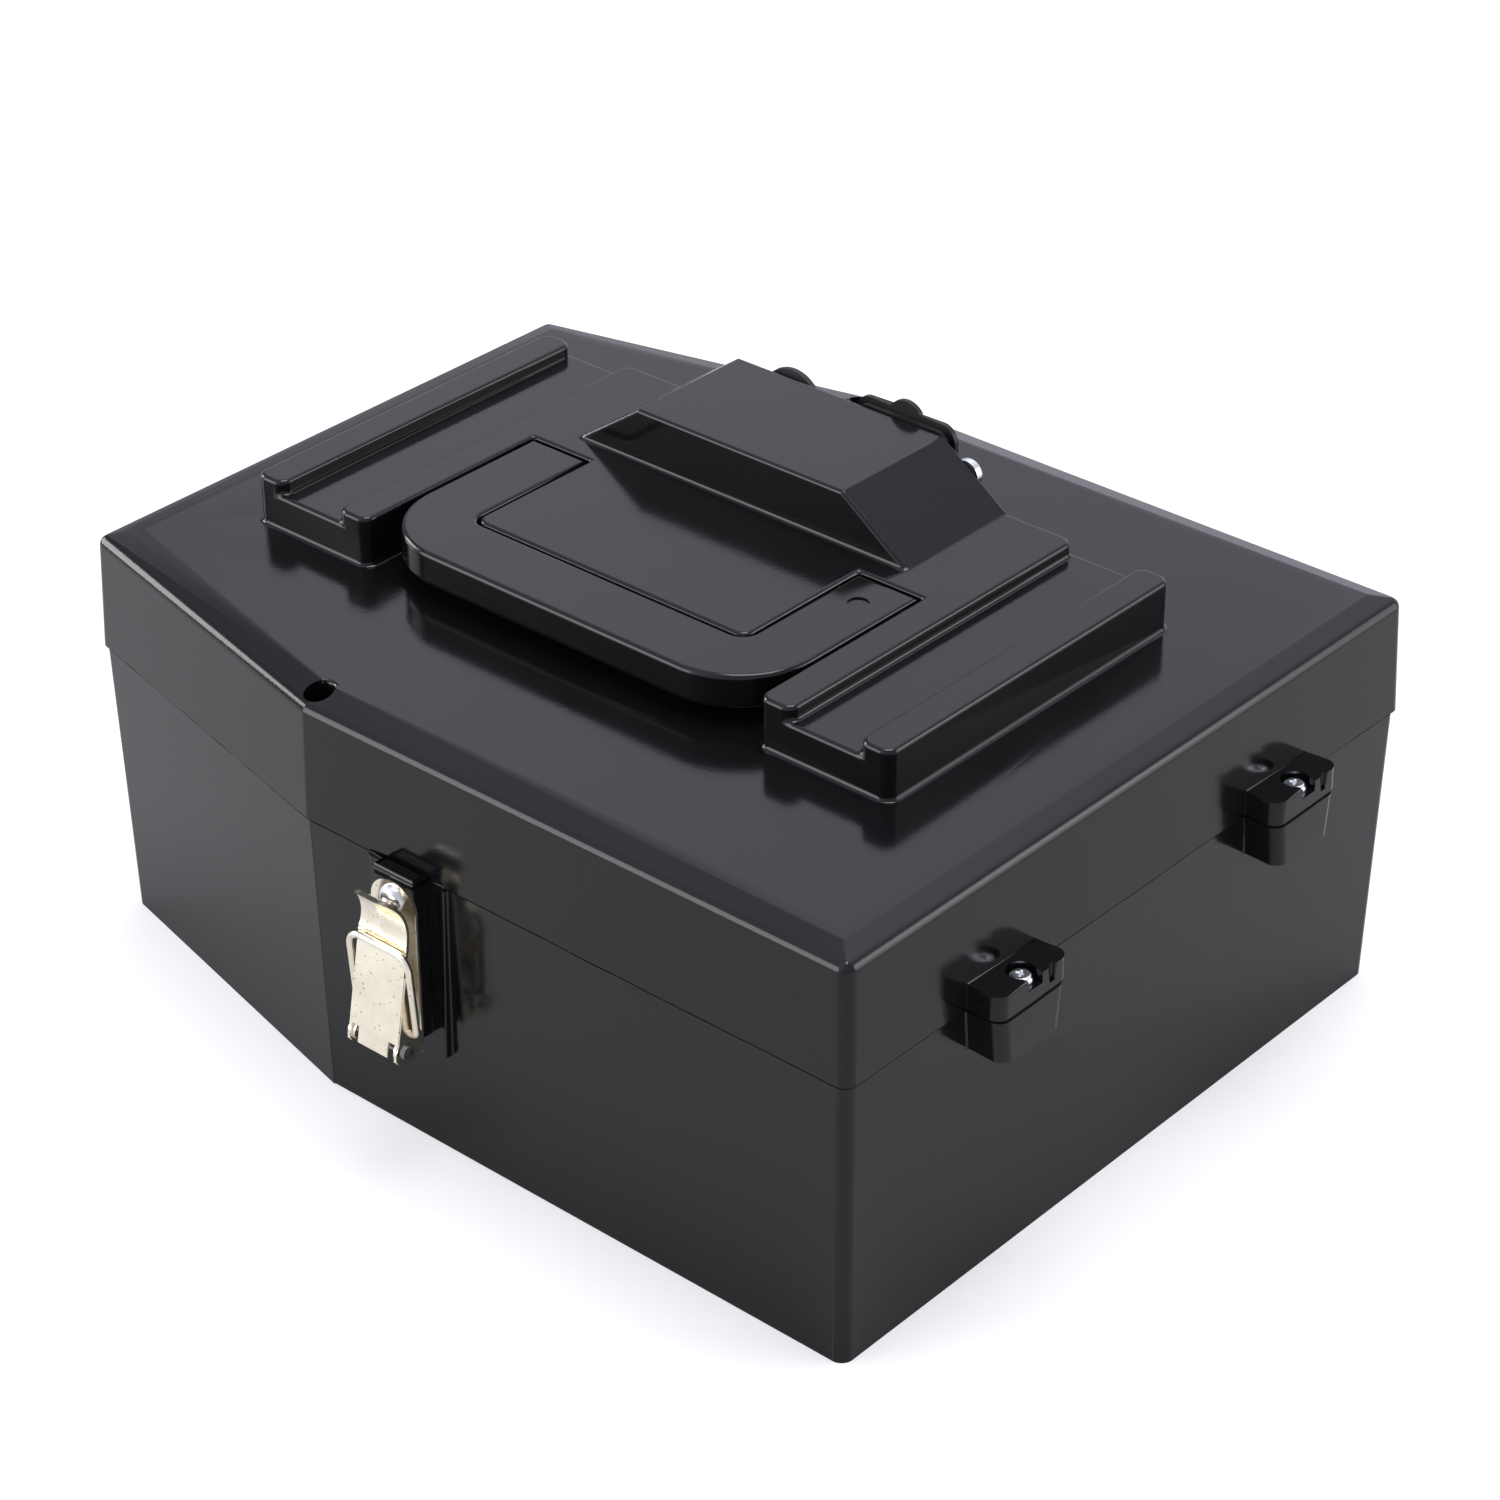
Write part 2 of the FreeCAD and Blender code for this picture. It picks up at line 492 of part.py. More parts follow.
# ---------------------------------------------------------------- handle
def make_handle():
    """The folding U-shaped grip, flush with the deck when it lies flat."""
    low = f"{DECK_TOP} - grip_thick"
    grip = prism("grip", "XY", [
        ("deck_centre - grip_outer", "grip_end"), ("deck_centre - grip_outer", "grip_front"),
        ("deck_centre + grip_outer", "grip_front"), ("deck_centre + grip_outer", "grip_end"),
        ("deck_centre + grip_inner", "grip_end"), ("deck_centre + grip_inner", "grip_front + grip_bar"),
        ("deck_centre - grip_inner", "grip_front + grip_bar"), ("deck_centre - grip_inner", "grip_end"),
    ], low, DECK_TOP)
    front = worth("grip_front")
    inner = worth("grip_front + grip_bar")
    grip = rounded("grip_outer_round", grip, "grip_corner",
                   lambda e: runs(e, "z") and abs(e.CenterOfMass.y - front) < 0.1)
    grip = rounded("grip_inner_round", grip, 5,
                   lambda e: runs(e, "z") and abs(e.CenterOfMass.y - inner) < 0.1)
    top, bottom = worth(DECK_TOP), worth(low)
    grip = rounded("grip_top_round", grip, 1.6, lambda e: level(e, top))
    grip = rounded("grip_foot_round", grip, 2.2, lambda e: level(e, bottom))
    bores = []
    for name, sign in (("left", -1), ("right", 1)):
        middle = f"deck_centre + {sign} * 64"
        bores.append(rod(f"grip_bore_{name}", "x", "pivot_radius + play", f"{middle} - 14", f"{middle} + 14",
                         ("pivot_y", PIVOT_Z)))
    dimple = rod("grip_dimple", "z", 3.2, f"{DECK_TOP} - 0.5", f"{DECK_TOP} + 1",
                 ("deck_centre + 0.5 * (grip_outer + grip_inner)", "-5"))
    keep("carry_handle", carved("grip_part", grip, *bores, dimple))
    for name, sign in (("left", -1), ("right", 1)):
        tip = f"deck_centre + {sign} * (pad_half - wall - 1)"
        neck = f"deck_centre + {sign} * (strip_inner + wall + 0.2)"
        far = f"deck_centre + {sign} * (strip_inner + wall + 1.7)"
        shank = rod(f"pin_{name}_shank", "x", "pivot_radius", *(tip, neck)[::sign], ("pivot_y", PIVOT_Z))
        head = rod(f"pin_{name}_head", "x", "pivot_radius + 0.8", *(neck, far)[::sign], ("pivot_y", PIVOT_Z))
        keep(f"handle_pin_{name}", joined(f"pin_{name}", shank, head))


# ---------------------------------------------------------------- latch
def at_latch(offset):
    """A place across the latch, measured from its middle."""
    return f"latch_x + ({offset})"


def make_latch_plate():
    """The steel back plate with two ears that hold the pivot."""
    front = "pad_face - plate_thick"
    plate = prism("plate_blank", "XZ", [
        (at_latch("-plate_half"), "plate_foot"), (at_latch("plate_half"), "plate_foot"),
        (at_latch("plate_half"), "plate_top"), (at_latch("-plate_half"), "plate_top"),
    ], front, "pad_face")
    top = worth("plate_top")
    plate = rounded("plate_round", plate, "plate_corner",
                    lambda e: runs(e, "y") and e.CenterOfMass.z > top - 0.1)
    pieces = [plate]
    for name, sign in (("left", -1), ("right", 1)):
        sides = [at_latch(f"{sign} * (plate_half - 1)"), at_latch(f"{sign} * plate_half")][::sign]
        pieces.append(rod(f"ear_{name}", "x", "ear_radius", *sides, ("knuckle_y", "knuckle_z")))
        pieces.append(block(f"ear_neck_{name}", sides, ("knuckle_y", "pad_face"),
                            ("knuckle_z - ear_radius", "knuckle_z + ear_radius")))
    holes = [rod("plate_pin_hole", "x", "latch_pin_radius + play", at_latch(-12), at_latch(12),
                 ("knuckle_y", "knuckle_z"))]
    for name, z in RIVET_PLACES:
        holes.append(rod(f"plate_hole_{name}", "y", 1.6, "-136", "-120", ("latch_x", z)))
    keep("latch_base_plate", carved("plate_part", joined("plate_solid", *pieces), *holes))


def make_latch_rivets():
    """Two dome-head rivets through the plate and the box wall."""
    rivets = []
    for (name, z), radius in zip(RIVET_PLACES, (4.4, 3.2)):
        face = "pad_face - plate_thick"
        inner = ("(-case_width / 2 + lid_overhang + wall"
                 f" + base_draft * (base_height + 1 - ({z})) / (base_height + 1 - wall) + 0.08)")
        shank = rod(f"rivet_{name}_shank", "y", 1.5, f"{face} - 0.2", f"{inner} + 1.1", ("latch_x", z))
        head = rod(f"rivet_{name}_head", "y", radius, f"{face} - {radius} * 0.5", face, ("latch_x", z))
        outer = worth(f"{face} - {radius} * 0.5")
        head = rounded(f"rivet_{name}_dome", head, radius * 0.42,
                       lambda e: abs(e.CenterOfMass.y - outer) < 0.01)
        tail = rod(f"rivet_{name}_tail", "y", 2.6, inner, f"{inner} + 1.2", ("latch_x", z))
        rivets.append(joined(f"rivet_{name}", shank, head, tail))
    keep("latch_rivets", grouped("rivet_pair", *rivets))


def make_latch_lever():
    """The steel lever: a leaning front plate, two side flanges and a curled finger tab."""
    run = "(lever_root_z - lever_foot_z)"
    lean = f"(lever_root_y - lever_foot_y) / {run}"
    face = prism("lever_face", "YZ", [
        ("lever_foot_y", "lever_foot_z"), ("lever_root_y", "lever_root_z"),
        ("lever_root_y + 1", "lever_root_z"), ("lever_foot_y + 1", "lever_foot_z"),
    ], at_latch("-lever_half"), at_latch("lever_half"))
    curl = carved("tab_ring", rod("tab_outer", "x", "tab_radius + 1", at_latch("-lever_half"),
                                  at_latch("lever_half"), ("tab_y", "tab_z")),
                  rod("tab_inner", "x", "tab_radius", at_latch("-lever_half - 1"),
                      at_latch("lever_half + 1"), ("tab_y", "tab_z")))
    window = block("tab_window", (at_latch("-lever_half"), at_latch("lever_half")), ("tab_y", "tab_y + 20"),
                   ("lever_root_z - 0.4", "tab_top"))
    tongue = prism("tongue", "XZ", [
        (at_latch("-lever_half"), "lever_foot_z - 2"), (at_latch("lever_half"), "lever_foot_z - 2"),
        (at_latch("lever_half - 0.5"), "lever_root_z"), (at_latch("lever_half - 1.6"), "tab_top"),
        (at_latch("1.6 - lever_half"), "tab_top"), (at_latch("0.5 - lever_half"), "lever_root_z"),
    ], "tab_y - 2", "pad_face")
    top = worth("tab_top")
    tongue = rounded("tongue_round", tongue, 5.5, lambda e: runs(e, "y") and e.CenterOfMass.z > top - 0.1)
    skin = shared("lever_skin", joined("lever_sheet", face, shared("tab_curl", curl, window)), tongue)
    pieces = [skin]
    for name, sign in (("left", -1), ("right", 1)):
        sides = [at_latch(f"{sign} * (lever_half - 1)"), at_latch(f"{sign} * lever_half")][::sign]
        flange = prism(f"flange_{name}", "YZ", [
            (f"lever_foot_y + 0.5 + {lean} * (knuckle_z - lever_foot_z)", "knuckle_z"),
            ("knuckle_y + knuckle_radius", "knuckle_z"),
            ("eye_y + 2.2", "eye_z"), ("eye_y + 1.6", "eye_z + 3"),
            ("lever_root_y - 1", "lever_root_z - 10"),
            (f"lever_root_y + 0.5 - {lean} * 10", "lever_root_z - 10"),
        ], *sides)
        disc = rod(f"flange_disc_{name}", "x", "knuckle_radius", *sides, ("knuckle_y", "knuckle_z"))
        pieces += [flange, disc]
    body = joined("lever_solid", *pieces)
    cuts = [rod("lever_pin_hole", "x", "latch_pin_radius + play", at_latch(-12), at_latch(12),
                ("knuckle_y", "knuckle_z")),
            rod("lever_eye", "x", "bail_wire + play", at_latch(-12), at_latch(12), ("eye_y", "eye_z"))]
    for name, sign in (("left", -1), ("right", 1)):
        slot = [at_latch(f"{sign} * 5.9"), at_latch(f"{sign} * (lever_half - 1)")][::sign]
        cuts.append(block(f"lever_slot_{name}", slot, ("lever_foot_y - 1", "knuckle_y"),
                          ("lever_foot_z - 2", "knuckle_z + 3.6")))
    keep("latch_lever", carved("lever_part", body, *cuts))


def make_latch_pin():
    pin = rod("latch_pin_shank", "x", "latch_pin_radius", at_latch("-lever_half - 0.1"),
              at_latch("lever_half + 0.1"), ("knuckle_y", "knuckle_z"))
    heads = [rod(f"latch_pin_head_{name}", "x", "latch_pin_radius + 0.9", *ends, ("knuckle_y", "knuckle_z"))
             for name, ends in (("left", (at_latch("-lever_half - 0.65"), at_latch("-lever_half - 0.1"))),
                                ("right", (at_latch("lever_half + 0.1"), at_latch("lever_half + 0.65"))))]
    keep("latch_pivot_pin", joined("latch_pin", pin, *heads))


def make_latch_bail():
    """The wire loop: turned-in ends, two arms, two round corners and a top bar."""
    middle, half = worth("latch_x"), worth("bail_half")
    eye = Vector(middle, worth("eye_y"), worth("eye_z"))
    top = Vector(middle, worth("bail_y"), worth("bail_top"))
    up = (top - eye).normalize()
    side = Vector(1, 0, 0)
    reach, radius, curve = worth("lever_half - 1.6"), worth("bail_corner"), worth("bail_wire") * 1.6
    bend = 1 - math.sqrt(0.5)
    edges = []
    for sign in (-1, 1):
        arm = side * (sign * half)
        start = eye + side * (sign * reach)
        low_in = eye + side * (sign * (half - curve))
        low_mid = eye + arm - side * (sign * bend * curve) + up * (bend * curve)
        low_out = eye + arm + up * curve
        high_out = top + arm - up * radius
        high_mid = top + arm - side * (sign * bend * radius) - up * (bend * radius)
        high_in = top + side * (sign * (half - radius))
        edges += [Part.LineSegment(start, low_in), Part.Arc(low_in, low_mid, low_out),
                  Part.LineSegment(low_out, high_out), Part.Arc(high_out, high_mid, high_in)]
    edges.append(Part.LineSegment(top - side * (half - radius), top + side * (half - radius)))
    path = Part.Wire(Part.__sortEdges__([edge.toShape() for edge in edges]))
    ring = Part.Wire(Part.makeCircle(worth("bail_wire"), eye - side * reach, side))
    bail = doc.addObject("Part::Feature", "bail_wire_loop")
    bail.Shape = path.makePipeShell([ring], True, True)
    keep("latch_bail", bail)


# ---------------------------------------------------------------- rear fittings
def facing(label, half, low, high, start, end, corner):
    """An upright rounded plate on the raised block's rear wall."""
    plate = prism(label, "XZ", [
        (f"socket_x - {half}", low), (f"socket_x + {half}", low),
        (f"socket_x + {half}", high), (f"socket_x - {half}", high),
    ], start, end)
    return rounded(label + "_round", plate, corner, lambda e: runs(e, "y"))


def make_socket():
    """The power socket: flange, insulating body, three blades, two screws and a flip-down cover."""
    face = "deck_rear"
    back = f"{face} + socket_thick"
    bolt_places = [(side + 2, (f"socket_x + {side} * bolt_reach", "socket_z")) for side in (-1, 1)]
    plate = facing("socket_flange", "socket_half", "socket_z - socket_tall / 2",
                   "socket_z + socket_tall / 2", face, back, 5)
    knuckles = []
    for name, low, high in (("left", -6.5, -4), ("right", 4, 6.5)):
        sides = (f"socket_x + {low}", f"socket_x + {high}")
        knuckles.append(rod(f"socket_knuckle_{name}", "x", "hinge_radius", *sides, ("hinge_y", "hinge_z")))
        knuckles.append(block(f"socket_post_{name}", sides, (f"{face} + 0.5", "hinge_y"),
                              ("hinge_z - hinge_radius", "hinge_z + hinge_radius")))
    holes = [block("socket_opening", ("socket_x - 11.2", "socket_x + 11.2"), (f"{face} - 1", f"{back} + 1"),
                   ("socket_z - 7.2", "socket_z + 7.2")),
             rod("socket_pin_hole", "x", 0.65, "socket_x - 9", "socket_x + 9", ("hinge_y", "hinge_z"))]
    for name, place in bolt_places:
        holes.append(rod(f"socket_bolt_hole_{name}", "y", 1.4, f"{face} - 1", f"{back} + 1", place))
        holes.append(rod(f"socket_bolt_sink_{name}", "y", 2.6, f"{back} - 0.9", f"{back} + 1", place))
    keep("socket_plate", carved("socket_plate_part", joined("socket_plate_solid", plate, *knuckles), *holes))

    shell = block("socket_shell", ("socket_x - 11", "socket_x + 11"), (f"{face} - 14", f"{back} - 0.1"),
                  ("socket_z - 7", "socket_z + 7"))
    mouth = block("socket_mouth", ("socket_x - 9.4", "socket_x + 9.4"), (f"{face} - 9.5", f"{back} + 1"),
                  ("socket_z - 5.4", "socket_z + 5.4"))
    blade_places = [f"socket_x + {x}" for x in (-5.5, 0, 5.5)]
    slots = [block(f"contact_slot_{n}", (f"{x} - 1.05", f"{x} + 1.05"), (f"{face} - 15", f"{face} - 9"),
                   ("socket_z - 2.6", "socket_z + 2.6")) for n, x in enumerate(blade_places)]
    keep("socket_body", carved("socket_body_part", shell, mouth, *slots))
    blades = [block(f"contact_{n}", (f"{x} - 1", f"{x} + 1"), (f"{face} - 19", f"{face} - 2.5"),
                    ("socket_z - 2.5", "socket_z + 2.5")) for n, x in enumerate(blade_places)]
    keep("socket_contacts", grouped("contact_group", *blades))

    bolts = []
    for name, place in bolt_places:
        shank = rod(f"socket_bolt_shank_{name}", "y", 1.25, f"{face} - 8", back, place)
        head = rod(f"socket_bolt_head_{name}", "y", 2.5, f"{back} - 0.9", back, place)
        slot = block(f"socket_bolt_slot_{name}", (f"{place[0]} - 1.6", f"{place[0]} + 1.6"),
                     (f"{back} - 0.5", f"{back} + 1"), ("socket_z - 0.35", "socket_z + 0.35"))
        bolts.append(carved(f"socket_bolt_{name}", joined(f"socket_bolt_blank_{name}", shank, head), slot))
    keep("socket_screws", grouped("socket_bolts", *bolts))

    near = f"{back} + 0.2"
    far = f"{near} + cover_thick"
    flap = facing("flap_plate", "cover_half", "hinge_z + hinge_radius + 0.3", "cover_top", near, far,
                  "cover_corner")
    tab = rod("flap_tab", "y", "tab_disc", near, far, ("socket_x", "tab_disc_z"))
    barrel = rod("flap_barrel", "x", "hinge_radius", "socket_x - 3.8", "socket_x + 3.8",
                 ("hinge_y", "hinge_z"))
    arm = block("flap_arm", ("socket_x - 3.8", "socket_x + 3.8"), (near, far), ("hinge_z", "hinge_z + 4"))
    bore = rod("flap_bore", "x", 0.65, "socket_x - 9", "socket_x + 9", ("hinge_y", "hinge_z"))
    keep("socket_cover", carved("flap_part", joined("flap_solid", flap, tab, barrel, arm), bore))
    keep("socket_hinge_pin", rod("socket_pin", "x", 0.6, "socket_x - 6.7", "socket_x + 6.7",
                                 ("hinge_y", "hinge_z")))


def make_port():
    """The round charging port: body, inside nut and push-in cap."""
    face = "deck_rear"
    at = ("port_x", "port_z")
    barrel = rod("port_barrel", "y", "port_body_radius", f"{face} - 12", f"{face} + 1", at)
    rim = rod("port_rim", "y", 8, face, f"{face} + 1.6", at)
    keep("charge_port_body", carved("port_body_part", joined("port_body_solid", barrel, rim),
                                    rod("port_bore", "y", 3.4, f"{face} - 9", f"{face} + 3", at)))
    nut = doc.addObject("Part::Prism", "port_nut_blank")
    nut.Polygon = 6
    nut.setExpression("Circumradius", "7.2")
    nut.setExpression("Height", "3.5")
    nut.Placement.Rotation = TURNS["y"]
    for axis, formula in zip("xyz", ("port_x", f"{face} - wall - 3.5", "port_z")):
        nut.setExpression("Placement.Base." + axis, bind(formula))
    keep("charge_port_nut", carved("port_nut_part", nut, rod("port_nut_bore", "y", "port_body_radius + play",
                                                             f"{face} - 9", face, at)))
    disc = rod("port_cap_disc", "y", "port_cap_radius", f"{face} + 1.6", f"{face} + 4", at)
    far = worth(f"{face} + 4")
    disc = rounded("port_cap_soft", disc, 1, lambda e: abs(e.CenterOfMass.y - far) < 0.01)
    stem = rod("port_cap_stem", "y", 3.3, f"{face} - 5", f"{face} + 2", at)
    keep("charge_port_cap", joined("port_cap", disc, stem))


def make_stud():
    """A bright turned stud with a domed head, pressed into the rear wall."""
    face = "deck_rear"
    at = ("stud_x", "stud_z")
    shank = rod("stud_body", "y", "stud_shank", f"{face} - 5.5", f"{face} + 0.5", at)
    head = rod("stud_head", "y", "stud_radius", face, f"{face} + 3", at)
    far = worth(f"{face} + 3")
    head = rounded("stud_dome", head, 1.2, lambda e: abs(e.CenterOfMass.y - far) < 0.01)
    keep("rear_stud", joined("stud_solid", shank, head))


# ---------------------------------------------------------------- tray
def make_tray():
    """The lift-out tray: an open box on the case's plan, a fixed bar to lift it by and two dividers."""
    outside = tapered("tray_block", "tray_floor", "tray_inset + 1", "tray_rim", "tray_inset")
    outside = rounded("tray_skin", outside, 4, lambda e: runs(e, "z"))
    inside = tapered("tray_room", "tray_floor + tray_wall", "tray_inset + 1 + tray_wall", "tray_rim + 1",
                     "tray_inset + tray_wall")
    inside = rounded("tray_hollow", inside, 2.5, lambda e: runs(e, "z"))
    shell = carved("tray_shell", outside, inside)
    sleeves = [rod(f"tray_sleeve_{name}", "z", "boss_radius + 3", "tray_floor", "tray_rim", ("boss_x", y))
               for name, y in both_sides("boss_y")]
    sleeves = shared("tray_sleeves", joined("tray_sleeve_pair", *sleeves), outside)
    spine = block("tray_spine", ("-1", "1"), ("-119", "119"), ("tray_floor + 1", "tray_rim"))
    grip = block("tray_grip", ("-7", "7"), ("-45", "45"), ("tray_rim - 8", "tray_rim"))
    hole = block("tray_grip_hole", ("-4", "4"), ("-38", "38"), ("tray_rim - 30", "tray_rim - 8"))
    ribs = []
    for name, x, half in (("wide", "wide_divider_x", "case_width / 2 - tray_inset"),
                          ("narrow", "narrow_divider_x", NARROW_HALF)):
        for side in (-1, 1):
            for hand in (-1, 1):
                across = [f"{x} + {hand} * 1.3", f"{x} + {hand} * 3.3"][::hand]
                along = [f"{side} * ({half} - 7)", f"{side} * ({half} - 1.2)"][::side]
                ribs.append(block(f"tray_rib_{name}_{side + 2}_{hand + 2}", across, along,
                                  ("tray_floor + 1", "tray_rim - 6")))
    ribs = shared("tray_ribs", joined("tray_rib_set", *ribs), outside)
    notches = [rod(f"tray_notch_{name}", "z", "boss_radius + 1", "tray_floor - 1", "tray_rim + 1",
                   ("boss_x", y)) for name, y in both_sides("boss_y")]
    grip = rounded("tray_grip_soft", grip, 3, lambda e: runs(e, "y"))
    body = joined("tray_solid", shell, sleeves, spine, grip, ribs)
    keep("lift_out_tray", carved("tray_part", body, hole, *notches))
    for name, x, half in (("wide", "wide_divider_x", "case_width / 2 - tray_inset"),
                          ("narrow", "narrow_divider_x", NARROW_HALF)):
        reach = f"({half} - tray_wall - 2)"
        keep(f"tray_divider_{name}", block(f"divider_{name}", (f"{x} - 1", f"{x} + 1"),
                                           (f"-{reach}", reach), ("tray_floor + tray_wall", "tray_rim - 6")))


make_base()
inserts("boss_inserts", "boss_x", "boss_y", "2.85", "boss_screw_radius + play")
inserts("lug_inserts", "lug_screw_x", "lug_y", "2.65", "lug_screw_radius + play")
make_lid()
make_seal()
screws("boss_screws", "boss_x", "boss_y", "well_floor", "base_height - 18", "boss_screw_radius",
       "boss_head_radius", "2.6")
screws("lug_screws", "lug_screw_x", "lug_y", "(base_height + lug_top - 3.4)", "base_height - 8",
       "lug_screw_radius", "lug_head_radius", "2.3")
make_handle()
make_latch_plate()
make_latch_rivets()
make_latch_lever()
make_latch_pin()
make_latch_bail()
make_socket()
make_port()
make_stud()
make_tray()
doc.recompute()

# ---------------------------------------------------------------- check and write
for item in doc.Objects:
    if "Invalid" in item.State or "Error" in item.State:
        raise RuntimeError(f"{item.Label} did not build: {item.State}")
for node in NODES:
    shape = node.Shape
    if shape.isNull() or not shape.isValid():
        raise RuntimeError(node.Label + " has no valid shape")
    shape.exportStep(f"parts/{node.Label}.step")
    box = shape.BoundBox
    spans = [(box.XMin, box.XMax), (box.YMin, box.YMax), (box.ZMin, box.ZMax)]
    print(f"{node.Label:22s} {len(shape.Solids)} solid(s)  {shape.Volume / 1000:9.2f} cm3 ",
          "  ".join(f"{axis} {low:7.1f} {high:7.1f}" for axis, (low, high) in zip("xyz", spans)))
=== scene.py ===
# %% [markdown]
# # A black carry case with a draw latch
# The case is a moulded plastic box whose left end narrows, with a screwed lid, a folding handle
# that lies flush in a raised deck, a small nickel latch, and a lift-out tray inside. The measured
# frame gives every piece its place; this lesson gives the pieces their edges, fine forms and finishes.

# %% Load the frame
import json
import math
import bmesh
import bpy
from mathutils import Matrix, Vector

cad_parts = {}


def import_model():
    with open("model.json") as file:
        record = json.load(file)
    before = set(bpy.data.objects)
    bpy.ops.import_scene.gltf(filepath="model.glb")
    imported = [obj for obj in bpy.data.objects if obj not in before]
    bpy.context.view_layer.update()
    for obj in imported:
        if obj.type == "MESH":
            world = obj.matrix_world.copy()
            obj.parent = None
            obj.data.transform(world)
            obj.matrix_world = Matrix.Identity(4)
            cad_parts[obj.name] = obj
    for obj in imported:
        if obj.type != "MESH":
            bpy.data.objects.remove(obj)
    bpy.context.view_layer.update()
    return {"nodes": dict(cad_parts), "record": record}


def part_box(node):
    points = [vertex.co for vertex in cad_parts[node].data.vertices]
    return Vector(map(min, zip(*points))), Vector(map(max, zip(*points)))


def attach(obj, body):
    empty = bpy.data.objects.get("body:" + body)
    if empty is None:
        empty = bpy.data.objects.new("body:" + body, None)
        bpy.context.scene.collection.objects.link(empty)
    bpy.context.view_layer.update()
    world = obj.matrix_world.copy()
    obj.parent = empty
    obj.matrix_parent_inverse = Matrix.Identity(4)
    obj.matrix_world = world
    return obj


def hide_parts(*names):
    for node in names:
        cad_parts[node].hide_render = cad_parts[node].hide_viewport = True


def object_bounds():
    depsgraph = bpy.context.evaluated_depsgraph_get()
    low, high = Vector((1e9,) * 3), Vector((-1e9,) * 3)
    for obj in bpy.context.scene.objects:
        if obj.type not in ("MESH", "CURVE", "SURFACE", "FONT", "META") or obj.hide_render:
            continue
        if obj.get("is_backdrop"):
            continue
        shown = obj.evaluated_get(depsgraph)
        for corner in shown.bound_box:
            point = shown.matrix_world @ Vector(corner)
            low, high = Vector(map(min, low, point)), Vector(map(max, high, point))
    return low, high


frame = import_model()
NODES = frame["nodes"]
MM = 0.001

# %% [markdown]
# ## Camera
# A long lens from a high front corner shows the top, the long side and the wide end together. A short
# lens could stand closer, but it would spread the near corner and crowd the far one.

# %% Camera
bpy.ops.object.select_all(action="DESELECT")
bpy.ops.object.camera_add(location=(0.70435, -0.78218, 0.7201),
                          rotation=[math.radians(a) for a in (58.448, 0.255, 41.209)])
camera = bpy.context.object
camera.name = "camera"
camera.data.lens = 98.77
camera.data.sensor_width = 36
camera.data.clip_start = 0.05
camera.data.clip_end = 20
bpy.context.scene.camera = camera
print("camera", tuple(round(v, 3) for v in camera.location))

# %% [markdown]
# ## Floor and light
# The case stands on a white floor. Black plastic shows what surrounds it more than its own colour: its
# upright sides mirror the floor, and its top mirrors the far end of the room. A floor of plain white
# paper would turn the sides grey. So the floor bounces back only half of the light, and a glow that the
# camera alone sees lifts it to white. The room isn't lit evenly either: its brightness changes with
# direction, so that each face of the case mirrors its own tone.

# %% Floor
def node_material(name):
    """A new material with its Principled shader; returns it, its nodes and its links."""
    material = bpy.data.materials.new(name)
    material.use_nodes = True
    return material, material.node_tree.nodes, material.node_tree.links


PAPER_GREY = 0.5
PAPER_LIFT = 0.43
bpy.ops.mesh.primitive_plane_add(size=12, location=(0, 0, 0))
floor = bpy.context.object
floor.name = "floor"
paper, nodes, links = node_material("white_paper")
shader = nodes["Principled BSDF"]
shader.inputs["Base Color"].default_value = (PAPER_GREY, PAPER_GREY, PAPER_GREY, 1)
shader.inputs["Roughness"].default_value = 0.8
shader.inputs["Specular IOR Level"].default_value = 0.1
lift = nodes.new("ShaderNodeEmission")
lift.inputs["Strength"].default_value = PAPER_LIFT
exposed = nodes.new("ShaderNodeAddShader")
seen = nodes.new("ShaderNodeLightPath")
choice = nodes.new("ShaderNodeMixShader")
links.new(shader.outputs["BSDF"], exposed.inputs[0])
links.new(lift.outputs["Emission"], exposed.inputs[1])
links.new(seen.outputs["Is Camera Ray"], choice.inputs["Fac"])
links.new(shader.outputs["BSDF"], choice.inputs[1])
links.new(exposed.outputs["Shader"], choice.inputs[2])
links.new(choice.outputs["Shader"], nodes["Material Output"].inputs["Surface"])
floor.data.materials.append(paper)
floor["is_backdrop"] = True
print("floor", floor.dimensions[:2])

# %% Room light
# Brightness of the room by direction, along X and along Y: (direction from -1 to 1, brightness).
ALONG_X = [(-1, 0.4), (-0.74, 0.48), (-0.65, 0.95), (-0.55, 1.05), (-0.3, 1.35), (0.1, 1), (0.33, 0.75),
           (1, 0.75)]
ALONG_Y = [(-1, 0.8), (0.3, 0.65), (0.45, 0.8), (0.58, 1.03), (0.65, 0.88), (0.72, 0.75), (1, 0.75)]
COOL_WHITE = (0.88, 0.89, 1, 1)
ROOM_STRENGTH = 1.4


def sky_ramp(nodes, links, value, stops):
    """Brightness along one direction of the room, from its stops."""
    spot = nodes.new("ShaderNodeMapRange")
    spot.inputs["From Min"].default_value = -1
    ramp = nodes.new("ShaderNodeValToRGB")
    links.new(value, spot.inputs["Value"])
    links.new(spot.outputs["Result"], ramp.inputs["Fac"])
    elements = ramp.color_ramp.elements
    for position, _ in stops[1:-1]:
        elements.new((position + 1) / 2)
    for element, (_, bright) in zip(elements, stops):
        element.color = (bright, bright, bright, 1)
    return ramp.outputs["Color"]


def multiplied(nodes):
    """A node that multiplies the colours on its inputs A and B."""
    product = nodes.new("ShaderNodeMix")
    product.data_type = "RGBA"
    product.blend_type = "MULTIPLY"
    product.inputs["Factor"].default_value = 1
    return product


